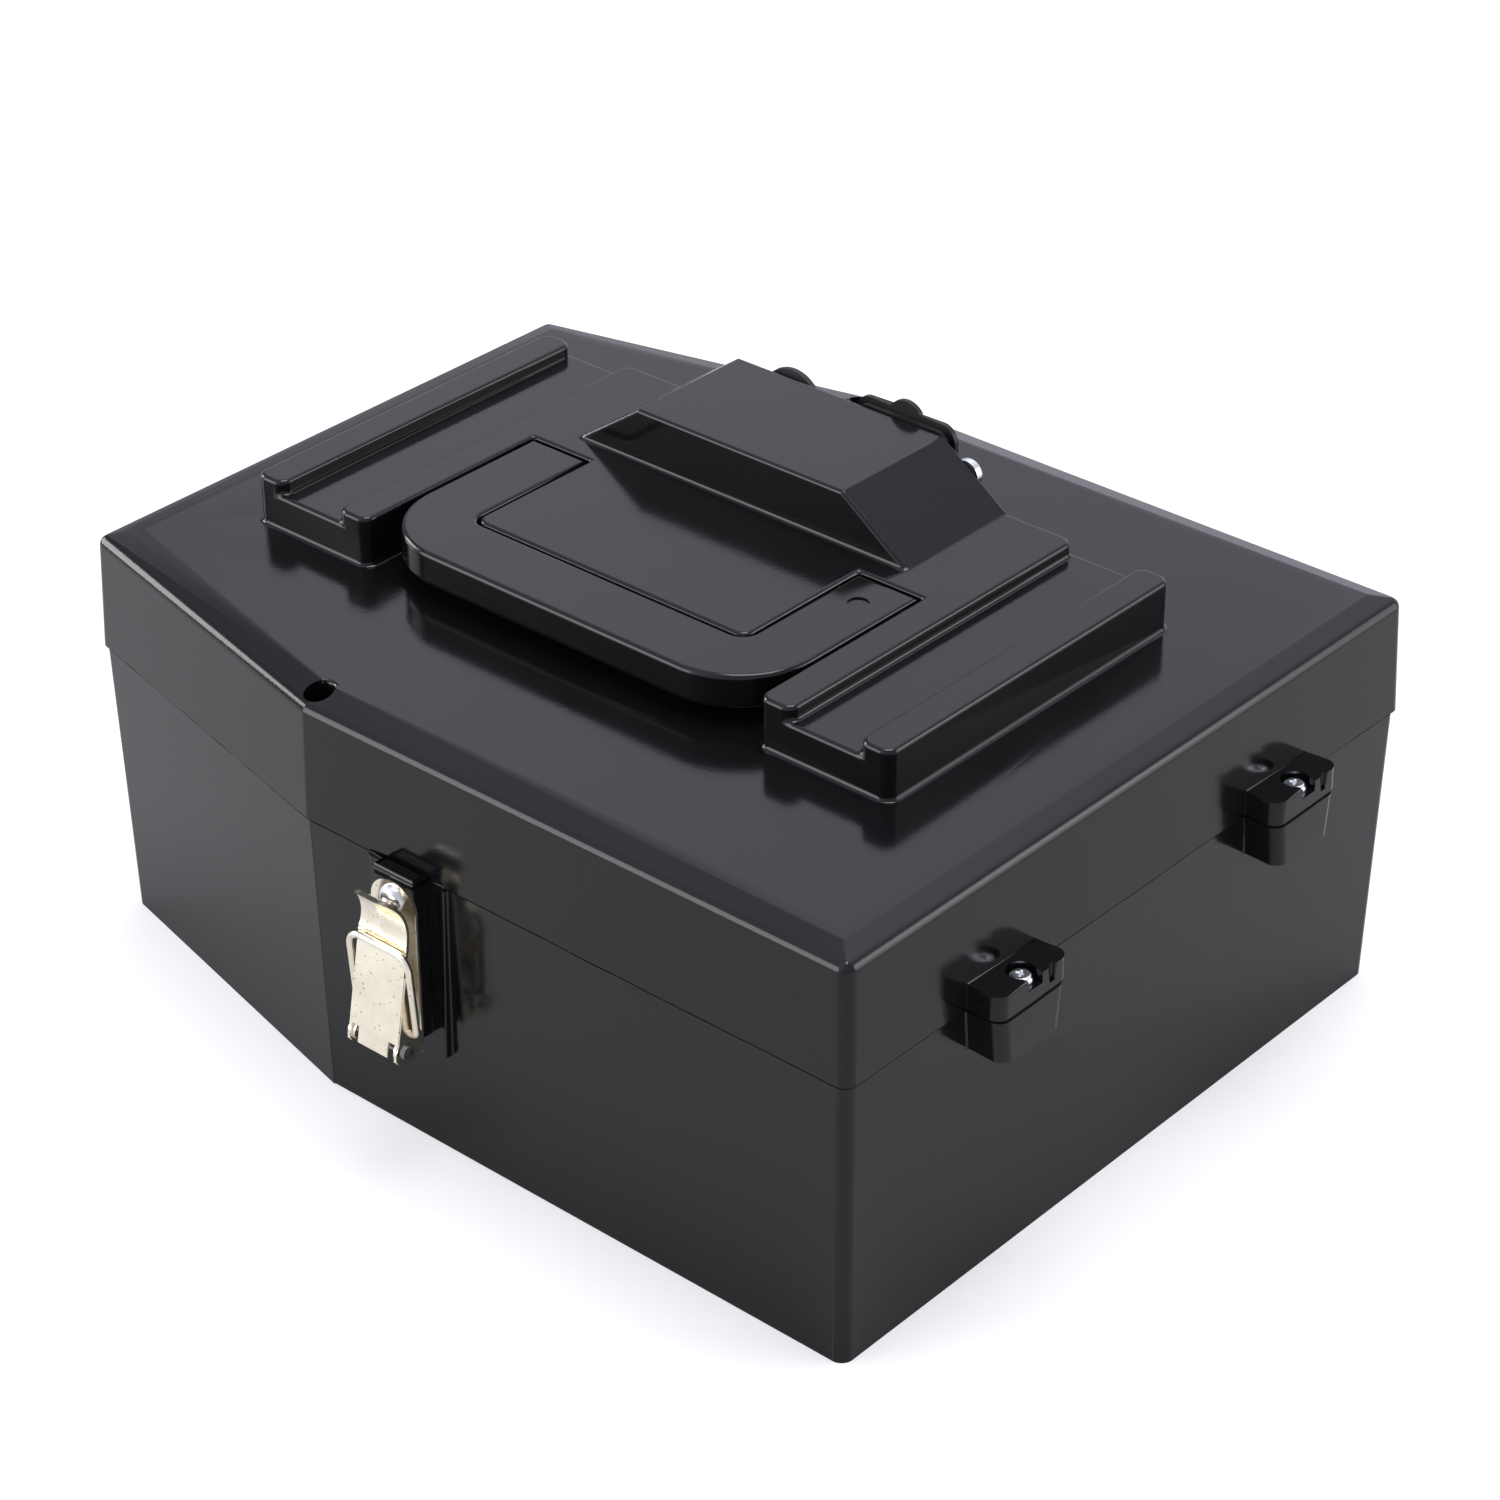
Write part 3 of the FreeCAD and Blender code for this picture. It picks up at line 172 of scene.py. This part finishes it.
world = bpy.data.worlds.new("studio")
bpy.context.scene.world = world
world.use_nodes = True
nodes, links = world.node_tree.nodes, world.node_tree.links
ray = nodes.new("ShaderNodeTexCoord")
parts = nodes.new("ShaderNodeSeparateXYZ")
links.new(ray.outputs["Generated"], parts.inputs["Vector"])
both = multiplied(nodes)
links.new(sky_ramp(nodes, links, parts.outputs["X"], ALONG_X), both.inputs["A"])
links.new(sky_ramp(nodes, links, parts.outputs["Y"], ALONG_Y), both.inputs["B"])
cooled = multiplied(nodes)
cooled.inputs["B"].default_value = COOL_WHITE
links.new(both.outputs["Result"], cooled.inputs["A"])
links.new(cooled.outputs["Result"], nodes["Background"].inputs["Color"])
nodes["Background"].inputs["Strength"].default_value = ROOM_STRENGTH
bpy.context.scene.view_settings.view_transform = "Standard"
bpy.context.scene.view_settings.look = "None"
print("room light", world.name)

# %% Lamps
def soft_light(name, place, target, size, watts):
    """A square area light at a place, turned to face a target."""
    bpy.ops.object.light_add(type="AREA", location=place)
    light = bpy.context.object
    light.name = name
    light.data.shape = "SQUARE"
    light.data.size = size
    light.data.energy = watts
    light.rotation_euler = (Vector(target) - Vector(place)).to_track_quat("-Z", "Y").to_euler()


soft_light("top_light", (0.2, 0.2, 2.4), (0, 0, 0.1), 1.2, 34)
soft_light("low_front_light", (-0.85, -1.3, 0.34), (0, 0, 0.12), 1.1, 17)
soft_light("low_right_light", (1.25, 0.98, 0.34), (0, 0, 0.12), 1.2, 9)
soft_light("left_light", (-1.9, -0.5, 0.7), (-0.6, -0.2, 0), 0.9, 20)
soft_light("right_light", (1.6, 1.1, 0.9), (0.5, 0.3, 0), 0.9, 6)

# %% [markdown]
# ## Moulded plastic
# The case is injection-moulded black plastic, with the fine orange-peel skin of its mould. A picture
# could give that skin, but it would need unwrapping and would repeat. Noise in the piece's own
# coordinates does neither. A slow noise moves the roughness a little, as handling does.

# %% Texture helpers
def object_noise(nodes, links, scale, detail=3, stretch=(1, 1, 1)):
    """Noise in the piece's own coordinates; the scale is in grains per metre."""
    place = nodes.new("ShaderNodeTexCoord")
    turn = nodes.new("ShaderNodeMapping")
    turn.inputs["Scale"].default_value = stretch
    noise = nodes.new("ShaderNodeTexNoise")
    noise.inputs["Scale"].default_value = scale
    noise.inputs["Detail"].default_value = detail
    links.new(place.outputs["Object"], turn.inputs["Vector"])
    links.new(turn.outputs["Vector"], noise.inputs["Vector"])
    return noise.outputs["Fac"]


def spread(nodes, links, value, low, high, start=0.3, end=0.7):
    """Map a value from start..end to low..high."""
    ranged = nodes.new("ShaderNodeMapRange")
    for name, number in (("From Min", start), ("From Max", end), ("To Min", low), ("To Max", high)):
        ranged.inputs[name].default_value = number
    links.new(value, ranged.inputs["Value"])
    return ranged.outputs["Result"]


def tint(nodes, links, value, dark, light):
    """A colour between two, driven by a value."""
    mix = nodes.new("ShaderNodeMix")
    mix.data_type = "RGBA"
    mix.inputs["A"].default_value = (*dark, 1)
    mix.inputs["B"].default_value = (*light, 1)
    links.new(value, mix.inputs["Factor"])
    return mix.outputs["Result"]


def relief(nodes, links, height, depth, below=None):
    """A bump of a depth in metres, laid over another one if given."""
    bump = nodes.new("ShaderNodeBump")
    bump.inputs["Strength"].default_value = 1
    bump.inputs["Distance"].default_value = depth
    links.new(height, bump.inputs["Height"])
    if below:
        links.new(below, bump.inputs["Normal"])
    return bump.outputs["Normal"]


# %% Plastics
SEAM_WAVER = 0.2 * MM
SEAM_FADE = 0.1 * MM
SINK_WAVE = 0.25 * MM


def seam_shadow(nodes, links, low, high):
    """1 in a thin band of heights at the seam, where a painted shade line stands for the shadow of the
    parting line between lid and base; 0 outside it.
    """
    place = nodes.new("ShaderNodeTexCoord")
    parts = nodes.new("ShaderNodeSeparateXYZ")
    links.new(place.outputs["Object"], parts.inputs["Vector"])
    height = nodes.new("ShaderNodeMath")
    links.new(parts.outputs["Z"], height.inputs[0])
    waver = spread(nodes, links, object_noise(nodes, links, 60, 3), -SEAM_WAVER, SEAM_WAVER)
    links.new(waver, height.inputs[1])
    band = nodes.new("ShaderNodeMath")
    band.operation = "MULTIPLY"
    raised = height.outputs["Value"]
    links.new(spread(nodes, links, raised, 0, 1, low, low + SEAM_FADE), band.inputs[0])
    links.new(spread(nodes, links, raised, 1, 0, high - SEAM_FADE, high), band.inputs[1])
    return band.outputs["Value"]


def moulded_plastic(name, dark, light, rough, grain, depth, specular=0.33, seam=None):
    """Plastic with an orange-peel skin, slightly uneven gloss and, if asked, a painted shade line at a
    seam, with its roughness raised and its reflection tinted black.
    """
    material, nodes, links = node_material(name)
    shader = nodes["Principled BSDF"]
    shader.inputs["Specular IOR Level"].default_value = specular
    cloud = object_noise(nodes, links, 22, 4)
    peel = object_noise(nodes, links, grain, 2)
    links.new(tint(nodes, links, cloud, dark, light), shader.inputs["Base Color"])
    gloss = spread(nodes, links, cloud, *rough)
    if seam:
        band = seam_shadow(nodes, links, *seam)
        duller = nodes.new("ShaderNodeMath")
        duller.operation = "MAXIMUM"
        links.new(gloss, duller.inputs[0])
        links.new(band, duller.inputs[1])
        gloss = duller.outputs["Value"]
        # Painted shade: inside the seam band the reflection is tinted black, so the seam shows as a dark
        # shadow line.
        links.new(tint(nodes, links, band, (1, 1, 1), (0, 0, 0)), shader.inputs["Specular Tint"])
    links.new(gloss, shader.inputs["Roughness"])
    wave = relief(nodes, links, object_noise(nodes, links, 9, 1), SINK_WAVE)
    links.new(relief(nodes, links, peel, depth, wave), shader.inputs["Normal"])
    return material


# The case plastic carries a painted shade line at the seam between lid and base, from 92.9 to 94.25 mm
# high.
case_plastic = moulded_plastic("case_plastic", (0.0025, 0.0027, 0.003), (0.0042, 0.0044, 0.005),
                               (0.11, 0.16), 900, 0.02 * MM, seam=(92.9 * MM, 94.25 * MM))
handle_plastic = moulded_plastic("handle_plastic", (0.0025, 0.0026, 0.003), (0.0038, 0.004, 0.0046),
                                 (0.1, 0.15), 1100, 0.006 * MM)
fitting_plastic = moulded_plastic("fitting_plastic", (0.004, 0.004, 0.0044), (0.007, 0.007, 0.0075),
                                  (0.35, 0.45), 1500, 0.02 * MM)
tray_plastic = moulded_plastic("tray_plastic", (0.035, 0.037, 0.041), (0.05, 0.052, 0.057),
                               (0.45, 0.6), 1600, 0.03 * MM)
soft_rubber = moulded_plastic("soft_rubber", (0.012, 0.012, 0.012), (0.022, 0.022, 0.023),
                              (0.55, 0.7), 2200, 0.03 * MM, 0.35)
PLASTICS = (case_plastic, handle_plastic, fitting_plastic, tray_plastic, soft_rubber)
print("plastics", [plastic.name for plastic in PLASTICS])

# %% [markdown]
# ## Metal
# The latch is pressed steel with warm nickel plate, dotted with fine pits. The screws are bright zinc.
# The pits could be modelled, but they are under a millimetre wide and too many, so they are dark
# specks with a little relief around the points of a Voronoi pattern.

# %% Metals
PIT_DEPTH = 0.03 * MM
PIT_COLOUR = (0.22, 0.17, 0.12, 1)
PIT_HEART = 0.09
PIT_EDGE = 0.2


def plated_metal(name, dark, light, rough, grain, depth, stretch=(1, 1, 1), pitted=0.0):
    """Metal with uneven polish and, where it is pitted, sparse dark specks."""
    material, nodes, links = node_material(name)
    shader = nodes["Principled BSDF"]
    shader.inputs["Metallic"].default_value = 1
    patch = object_noise(nodes, links, 160, 5)
    colour = tint(nodes, links, spread(nodes, links, patch, 0, 1), dark, light)
    place = nodes.new("ShaderNodeTexCoord")
    specks = nodes.new("ShaderNodeTexVoronoi")
    specks.inputs["Scale"].default_value = 500
    links.new(place.outputs["Object"], specks.inputs["Vector"])
    speck = spread(nodes, links, specks.outputs["Distance"], pitted, 0, PIT_HEART, PIT_EDGE)
    soiled = nodes.new("ShaderNodeMix")
    soiled.data_type = "RGBA"
    soiled.inputs["B"].default_value = PIT_COLOUR
    links.new(speck, soiled.inputs["Factor"])
    links.new(colour, soiled.inputs["A"])
    links.new(soiled.outputs["Result"], shader.inputs["Base Color"])
    links.new(spread(nodes, links, patch, *rough), shader.inputs["Roughness"])
    grains = relief(nodes, links, object_noise(nodes, links, grain, 2, stretch), depth)
    links.new(relief(nodes, links, speck, -PIT_DEPTH, grains), shader.inputs["Normal"])
    return material


nickel_plate = plated_metal("nickel_plate", (0.86, 0.79, 0.64), (0.96, 0.9, 0.76),
                            (0.17, 0.25), 2600, 0.004 * MM, pitted=0.8)
zinc_plate = plated_metal("zinc_plate", (0.62, 0.64, 0.67), (0.82, 0.84, 0.87),
                          (0.12, 0.24), 1800, 0.006 * MM)
drawn_steel = plated_metal("drawn_steel", (0.36, 0.36, 0.37), (0.52, 0.52, 0.53),
                           (0.25, 0.4), 2400, 0.01 * MM, (0.1, 1, 1))
turned_brass = plated_metal("turned_brass", (0.55, 0.39, 0.16), (0.74, 0.56, 0.28),
                            (0.22, 0.36), 2000, 0.01 * MM)
polished_metal = plated_metal("polished_metal", (0.72, 0.73, 0.75), (0.86, 0.87, 0.88),
                              (0.08, 0.16), 1400, 0.004 * MM)
METALS = (nickel_plate, zinc_plate, drawn_steel, turned_brass, polished_metal)
print("metals", [metal.name for metal in METALS])

# %% [markdown]
# ## Finishes on the pieces
# The frame says which finish each piece has. One table joins its words to the materials above.

# %% Give every carried piece its finish
FINISHES = {
    "case_plastic": case_plastic, "handle_plastic": handle_plastic, "fitting_plastic": fitting_plastic,
    "tray_plastic": tray_plastic, "seal_rubber": soft_rubber, "cap_rubber": soft_rubber,
    "brass_insert": turned_brass, "brass_contact": turned_brass, "zinc_screw": zinc_plate,
    "steel_pin": drawn_steel, "nickel_plate": nickel_plate, "nickel_wire": nickel_plate,
    "polished_metal": polished_metal,
}
SLOTS = {part["node"]: part["material_slot"] for part in frame["record"]["subparts"]}
for name, node in NODES.items():
    for slot in node.material_slots:
        slot.material = FINISHES[SLOTS[name]]
print("finishes on", len(NODES), "nodes")

# %% [markdown]
# ## Softened shells
# A mould has no knife edges: every rim of the box and the lid carries a small radius that catches the
# light as a thin line. The shells could be drawn afresh, but a merged copy of each frame piece can't
# drift from its place. Flat areas are dissolved to whole faces, the long sharp edges are bevelled, and
# the normals are weighted so that flats stay flat.

# %% Helpers for every new piece
BODIES = frame["record"]["behaviour"]["bodies"]
BODY_OF = {node: body for body, members in BODIES.items() for node in members}


def only(*pieces):
    """Select these pieces alone, the last one active."""
    bpy.ops.object.select_all(action="DESELECT")
    for piece in pieces:
        piece.select_set(True)
    bpy.context.view_layer.objects.active = pieces[-1]


def stands_for(piece, *nodes):
    """Put a finished piece on the body of the carried pieces that it replaces, give it the finish named
    by their slot, and hide them.
    """
    piece.data.materials.clear()
    piece.data.materials.append(FINISHES[SLOTS[nodes[0]]])
    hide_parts(*nodes)
    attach(piece, BODY_OF[nodes[0]])
    print(piece.name, "on", BODY_OF[nodes[0]], "with", len(piece.data.polygons), "faces")
    return piece


def modify(piece, kind, **settings):
    """Add one modifier, set it and apply it."""
    only(piece)
    bpy.ops.object.modifier_add(type=kind)
    modifier = piece.modifiers[-1]
    for key, value in settings.items():
        setattr(modifier, key, value)
    bpy.ops.object.modifier_apply(modifier=modifier.name)


# %% A helper for softened copies
MERGE_GAP = 0.01 * MM
FLAT_ANGLE = math.radians(0.6)
SMOOTH_ANGLE = math.radians(32)


def softened(node, *passes):
    """A merged copy of a carried piece, bevelled in passes of (offset, segments, edge test)."""
    only(NODES[node])
    bpy.ops.object.duplicate(linked=False)
    piece = bpy.context.object
    piece.name = node + "_soft"
    bpy.ops.mesh.customdata_custom_splitnormals_clear()
    bpy.ops.object.mode_set(mode="EDIT")
    bpy.ops.mesh.select_all(action="SELECT")
    bpy.ops.mesh.remove_doubles(threshold=MERGE_GAP)
    bpy.ops.mesh.dissolve_limited(angle_limit=FLAT_ANGLE)
    bpy.ops.mesh.select_mode(type="EDGE")
    for offset, segments, test in passes:
        bpy.ops.mesh.select_all(action="DESELECT")
        mesh = bmesh.from_edit_mesh(piece.data)
        for edge in mesh.edges:
            edge.select_set(edge.is_manifold and test(edge))
        bmesh.update_edit_mesh(piece.data)
        bpy.ops.mesh.bevel(offset=offset, segments=segments, profile=0.5, clamp_overlap=False)
    bpy.ops.object.mode_set(mode="OBJECT")
    bpy.ops.object.shade_smooth_by_angle(angle=SMOOTH_ANGLE)
    modify(piece, "WEIGHTED_NORMAL", keep_sharp=True)
    return stands_for(piece, node)


def turned(edge, low, high=180):
    """Whether the two faces of an edge meet at an angle in this range."""
    return low < math.degrees(edge.calc_face_angle()) < high


def long_and_sharp(edge, long=4 * MM, low=20, high=180):
    """Whether an edge is long enough and turns between two angles."""
    return edge.calc_length() > long and turned(edge, low, high)


def between(edge, low, high):
    """Whether both ends of an edge lie between two heights."""
    return all(low < corner.co.z < high for corner in edge.verts)


def at_height(edge, height):
    """Whether an edge lies level at a height."""
    return between(edge, height - 0.2 * MM, height + 0.2 * MM)


def above(edge, height):
    """Whether an edge lies wholly above a height."""
    return all(corner.co.z > height for corner in edge.verts)


def before(edge, depth):
    """Whether an edge lies wholly in front of a depth."""
    return all(corner.co.y < depth for corner in edge.verts)


# %% Lid and base
LID_SHOULDER = 130.5 * MM
LID_TOP = 133.3 * MM
SEAM = 94 * MM
DECK_REAR = 60 * MM


def shoulder(edge):
    """The rim where the lid's sloping border meets its sides."""
    return between(edge, LID_SHOULDER - 0.1 * MM, LID_SHOULDER + 0.6 * MM) and turned(edge, 50)


softened("lid_shell",
         (2.4 * MM, 8, shoulder),
         (2.5 * MM, 4, lambda e: at_height(e, LID_TOP) and long_and_sharp(e, low=10, high=20)),
         (1.3 * MM, 4, lambda e: at_height(e, LID_TOP) and turned(e, 50)),
         (1.1 * MM, 4, lambda e: above(e, LID_TOP + 1 * MM) and turned(e, 28) and before(e, DECK_REAR)),
         (0.7 * MM, 3, lambda e: above(e, SEAM + 1 * MM) and long_and_sharp(e)),
         (0.2 * MM, 2, long_and_sharp))
softened("base_shell",
         (0.2 * MM, 2, lambda e: above(e, SEAM - 1 * MM) and long_and_sharp(e)),
         (0.7 * MM, 3, long_and_sharp))

# %% [markdown]
# ## Thin pressed and moulded pieces
# The latch is bent from 1 mm sheet, so its edges get only a quarter of a millimetre. The handle, the
# socket parts and the tray are mouldings with their own radii. They are made as the shells are, from
# merged copies, because their outlines are already right and only their edges are too hard.

# %% Latch, handle, socket and tray
softened("carry_handle", (1.3 * MM, 4, lambda e: long_and_sharp(e, 0.9 * MM, 45)))
softened("latch_lever", (0.25 * MM, 2, lambda e: long_and_sharp(e, 1.2 * MM, 40)))
softened("latch_base_plate", (0.25 * MM, 2, lambda e: long_and_sharp(e, 1.2 * MM, 40)))
softened("socket_cover", (0.3 * MM, 2, lambda e: long_and_sharp(e, 1.5 * MM, 40)))
softened("socket_plate", (0.25 * MM, 2, lambda e: long_and_sharp(e, 3 * MM, 40)))
softened("lift_out_tray", (0.5 * MM, 2, lambda e: long_and_sharp(e, 4 * MM, 40)))
for divider in ("tray_divider_wide", "tray_divider_narrow"):
    softened(divider, (0.5 * MM, 2, long_and_sharp))

# %% [markdown]
# ## Screws
# A pan-head screw is a low cylinder with a domed rim and a cross recess. The recess is cut by two
# crossed blades that narrow towards their foot; the shank is drawn out of the head's underside. The
# thread isn't cut: it would cost many faces, and it is hidden until the lid is lifted.

# %% A pan-head screw
DOME_SHARE = 0.62
RECESS_TURN = 0.35
RECESS_LONG = 1.15
RECESS_WIDE = 0.27
RECESS_DEEP = 1.2
RECESS_FOOT = 0.45
SHANK_CHAMFER = 0.4 * MM


def faces_facing(piece, direction, low=0.99):
    """Select the faces of the piece in edit mode that look along a direction."""
    mesh = bmesh.from_edit_mesh(piece.data)
    for face in mesh.faces:
        face.select_set(face.normal.dot(Vector(direction)) > low)
    bmesh.update_edit_mesh(piece.data)


def pan_screw(name, place, head_radius, head_tall, shank_radius, length):
    """One screw standing upright: place is the centre of its seat."""
    x, y, z = place
    bpy.ops.mesh.primitive_cylinder_add(vertices=48, radius=head_radius, depth=head_tall,
                                        location=(x, y, z + head_tall / 2))
    screw = bpy.context.object
    screw.name = name
    bpy.ops.object.mode_set(mode="EDIT")
    bpy.ops.mesh.select_mode(type="FACE")
    bpy.ops.mesh.select_all(action="DESELECT")
    faces_facing(screw, (0, 0, 1))
    bpy.ops.mesh.bevel(offset=head_tall * DOME_SHARE, segments=6, profile=0.5)
    bpy.ops.mesh.select_all(action="DESELECT")
    faces_facing(screw, (0, 0, -1))
    bpy.ops.mesh.inset(thickness=head_radius - shank_radius)
    bpy.ops.mesh.extrude_region_move(TRANSFORM_OT_translate={"value": (0, 0, -length)})
    bpy.ops.mesh.bevel(offset=SHANK_CHAMFER, segments=2, profile=0.5)
    bpy.ops.object.mode_set(mode="OBJECT")
    blades = []
    for turn in (RECESS_TURN, RECESS_TURN + math.pi / 2):
        bpy.ops.mesh.primitive_cube_add(size=1, location=(x, y, z + head_tall), rotation=(0, 0, turn))
        blade = bpy.context.object
        blade.dimensions = (head_radius * RECESS_LONG, head_radius * RECESS_WIDE, head_tall * RECESS_DEEP)
        bpy.ops.object.transform_apply(location=False, rotation=False, scale=True)
        bpy.ops.object.mode_set(mode="EDIT")
        bpy.ops.mesh.select_mode(type="FACE")
        bpy.ops.mesh.select_all(action="DESELECT")
        faces_facing(blade, (0, 0, -1))
        bpy.ops.transform.resize(value=(RECESS_FOOT, RECESS_FOOT, 1))
        bpy.ops.object.mode_set(mode="OBJECT")
        blades.append(blade)
    for blade in blades:
        modify(screw, "BOOLEAN", operation="DIFFERENCE", object=blade, solver="EXACT")
        bpy.data.objects.remove(blade)
    modify(screw, "BEVEL", width=0.08 * MM, segments=2, limit_method="ANGLE",
           angle_limit=math.radians(40), use_clamp_overlap=True)
    only(screw)
    bpy.ops.object.transform_apply(location=True, rotation=True, scale=True)
    bpy.ops.object.shade_smooth_by_angle(angle=math.radians(35))
    return screw


# %% Both pairs of screws
def screw_pair(node, head_radius, head_tall, shank_radius):
    """Two equal screws where the carried pair stands, joined as one piece."""
    low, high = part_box(node)
    x = (low[0] + high[0]) / 2
    seat = high[2] - head_tall
    pair = [pan_screw(f"{node}_{side}", (x, y, seat), head_radius, head_tall, shank_radius, seat - low[2])
            for side, y in (("front", low[1] + head_radius), ("rear", high[1] - head_radius))]
    only(*pair)
    bpy.ops.object.join()
    pair[1].name = node + "_pair"
    return stands_for(pair[1], node)


screw_pair("lug_screws", 3.55 * MM, 2.3 * MM, 1.9 * MM)
screw_pair("boss_screws", 4 * MM, 2.6 * MM, 2.2 * MM)

# %% [markdown]
# ## Rivets
# The latch is held by two dome-head rivets. Each head is half a sphere, flattened; its shank and its
# upset tail are drawn out of the flat side, towards the inside of the wall. Half a sphere was chosen
# over a bevelled cylinder, because the dome curves all the way to its middle.

# %% Rivets
RIVET_SHANK = 1.5 * MM
TAIL_RADIUS = 2.6 * MM
TAIL_TALL = 1.2 * MM


def rivet(name, place, head_radius, head_tall, length):
    """One rivet: place is the centre of its head's flat side, and its shank runs along +Y."""
    x, y, z = place
    bpy.ops.mesh.primitive_uv_sphere_add(segments=40, ring_count=20, radius=head_radius, location=place,
                                         rotation=(math.pi / 2, 0, 0))
    piece = bpy.context.object
    piece.name = name
    bpy.ops.object.transform_apply(location=True, rotation=True, scale=True)
    bpy.ops.object.mode_set(mode="EDIT")
    bpy.ops.mesh.select_all(action="SELECT")
    bpy.ops.mesh.bisect(plane_co=place, plane_no=(0, 1, 0), clear_outer=True, use_fill=True)
    bpy.ops.mesh.select_all(action="SELECT")
    bpy.ops.transform.resize(value=(1, head_tall / head_radius, 1), center_override=place)
    bpy.ops.mesh.select_mode(type="FACE")
    bpy.ops.mesh.select_all(action="DESELECT")
    faces_facing(piece, (0, 1, 0))
    bpy.ops.mesh.inset(thickness=head_radius - RIVET_SHANK)
    bpy.ops.mesh.extrude_region_move(TRANSFORM_OT_translate={"value": (0, length, 0)})
    bpy.ops.mesh.extrude_region_move(TRANSFORM_OT_translate={"value": (0, 0, 0)})
    bpy.ops.transform.resize(value=(TAIL_RADIUS / RIVET_SHANK,) * 3, center_override=(x, y + length, z))
    bpy.ops.mesh.extrude_region_move(TRANSFORM_OT_translate={"value": (0, TAIL_TALL, 0)})
    bpy.ops.mesh.bevel(offset=SHANK_CHAMFER, segments=2)
    bpy.ops.object.mode_set(mode="OBJECT")
    bpy.ops.object.shade_smooth_by_angle(angle=math.radians(35))
    return piece


# The wall leans outwards, so the upper tail sits further forward than the lower one.
WALL_LEAN = 0.6 * MM
UPPER_HEAD = (4.4 * MM, 2.9 * MM)
LOWER_HEAD = (3.2 * MM, 1.7 * MM)
low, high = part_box("latch_rivets")
rivet_x = (low[0] + high[0]) / 2
plate_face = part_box("latch_base_plate")[1][1] - 1 * MM
tail_face = high[1] - 1.28 * MM
rivets = [rivet("rivet_upper", (rivet_x, plate_face, high[2] - UPPER_HEAD[0]), *UPPER_HEAD,
                tail_face - WALL_LEAN - plate_face),
          rivet("rivet_lower", (rivet_x, plate_face, low[2] + LOWER_HEAD[0]), *LOWER_HEAD,
                tail_face - plate_face)]
only(*rivets)
bpy.ops.object.join()
rivets[1].name = "rivet_pair"
stands_for(rivets[1], "latch_rivets")

# %% Finish
low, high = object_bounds()
print("shown", [round(v, 4) for v in low], [round(v, 4) for v in high])
